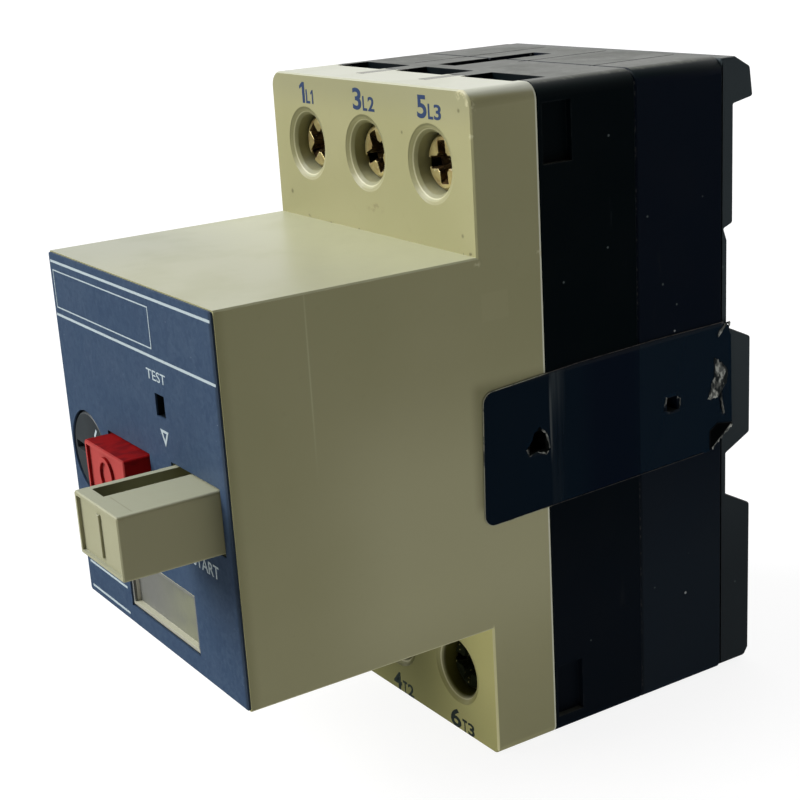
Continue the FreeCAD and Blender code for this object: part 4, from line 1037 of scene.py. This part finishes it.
def add_camera():
    """The camera that was fitted to the corners of the object in the photo."""
    data = bpy.data.cameras.new("photo_camera")
    data.lens = 72.43
    data.sensor_width = 36.0
    data.shift_y = 0.0452
    data.clip_start = 0.01
    camera = bpy.data.objects.new("photo_camera", data)
    bpy.context.scene.collection.objects.link(camera)
    look = Vector((-0.80504, 0.50382, -0.31317))
    turn = look.to_track_quat("-Z", "Y") @ Quaternion((0, 0, 1), math.radians(-3.56))
    camera.matrix_world = Matrix.Translation(mm(168.293, -141.71, 58.914)) @ turn.to_matrix().to_4x4()
    bpy.context.scene.camera = camera


def add_sun(name, towards, strength, angle):
    """A broad lamp that shines from a direction, evenly over the whole scene."""
    data = bpy.data.lights.new(name, "SUN")
    data.energy = strength
    data.angle = math.radians(angle)
    lamp = bpy.data.objects.new(name, data)
    lamp.rotation_euler = Vector(towards).to_track_quat("Z", "Y").to_euler()
    bpy.context.scene.collection.objects.link(lamp)


def add_surroundings():
    """White studio walls to the left and behind, dark ones to the right and below."""
    world = bpy.data.worlds.new("studio")
    bpy.context.scene.world = world
    world.use_nodes = True
    nodes, links = world.node_tree.nodes, world.node_tree.links
    direction = nodes.new("ShaderNodeTexCoord").outputs["Generated"]
    levels = []
    lobes = (((-0.8, 0.5, 0.33), 0.1, 0.85, 0.16, 1.1), ((0, 0, 1), -0.06, 0.06, 0.0, 1.0))
    for towards, low, high, dark, bright in lobes:
        dot = nodes.new("ShaderNodeVectorMath")
        dot.operation = "DOT_PRODUCT"
        dot.inputs[1].default_value = Vector(towards).normalized()
        links.new(direction, dot.inputs[0])
        level = nodes.new("ShaderNodeMapRange")
        level.interpolation_type = "SMOOTHSTEP"
        for socket, value in zip(level.inputs[1:5], (low, high, dark, bright)):
            socket.default_value = value
        links.new(dot.outputs["Value"], level.inputs[0])
        levels.append(level.outputs[0])
    strength = nodes.new("ShaderNodeMath")
    strength.operation = "MULTIPLY"
    links.new(levels[0], strength.inputs[0])
    links.new(levels[1], strength.inputs[1])
    links.new(strength.outputs[0], nodes["Background"].inputs["Strength"])
    nodes["Background"].inputs["Color"].default_value = (1.0, 1.0, 1.0, 1.0)


def studio_piece(name, points, faces, grey, glow):
    """A matt grey piece of the studio that may glow white."""
    mesh = bpy.data.meshes.new(name)
    mesh.from_pydata(points, [], faces)
    s = Surface(f"studio_{name}", (grey, grey, grey), 0.9)
    white = (1.0, 1.0, 1.0)
    mesh.materials.append(s.done(Specular_IOR_Level=0.0, Emission_Color=white, Emission_Strength=glow))
    piece = bpy.data.objects.new(name, mesh)
    bpy.context.scene.collection.objects.link(piece)
    return piece


def add_floor():
    """A pale floor that glows a little, so that shadows on it stay faint."""
    half = 6.0
    corners = [(x, y, FLOOR_LEVEL * MM) for x, y in rectangle(-half, half, -half, half)]
    floor = studio_piece("floor", corners, [(0, 1, 2, 3)], 0.18, 0.88)
    floor.visible_glossy = False


def add_backdrop():
    """A white wall round the floor. Only the camera sees it, so it gives no light."""
    radius, height, count = 5.9, 5.0, 64
    ring = ellipse(radius, radius, count)
    points = [(x, y, z) for z in (FLOOR_LEVEL * MM, height) for x, y in ring]
    steps = [(step, (step + 1) % count) for step in range(count)]
    faces = [(step, after, count + after, count + step) for step, after in steps]
    wall = studio_piece("backdrop", points, faces, 0.0, 1.0)
    wall.visible_diffuse = False
    wall.visible_glossy = False
    wall.visible_transmission = False
    wall.visible_shadow = False


def add_shade():
    """A dark card to the right of the picture that keeps the light off the right side."""
    x, near, far, top = 0.2, -1.5, -0.02, 1.2
    corners = [(x, y, z) for y, z in rectangle(near, far, FLOOR_LEVEL * MM, top)]
    card = studio_piece("shade", corners, [(0, 1, 2, 3)], 0.02, 0.0)
    card.visible_camera = False


def set_stage():
    add_camera()
    add_floor()
    add_backdrop()
    add_surroundings()
    add_shade()
    add_sun("key", (-0.45, -0.85, 0.68), 4.35, 42)
    add_sun("top", (-0.2, -0.35, 1.0), 0.35, 80)
    bpy.context.scene.view_settings.view_transform = "Standard"


noise.seed_set(TEAR_SEED)
materials = make_materials()
dress_nodes(materials)
face_marks(materials)
terminal_numbers(materials)
button_signs(materials)
terminal_screws(materials)
pressed_springs()
side_film(materials)
film_rim(materials)
crumpled_foil(materials)
label_tears(materials)
set_stage()
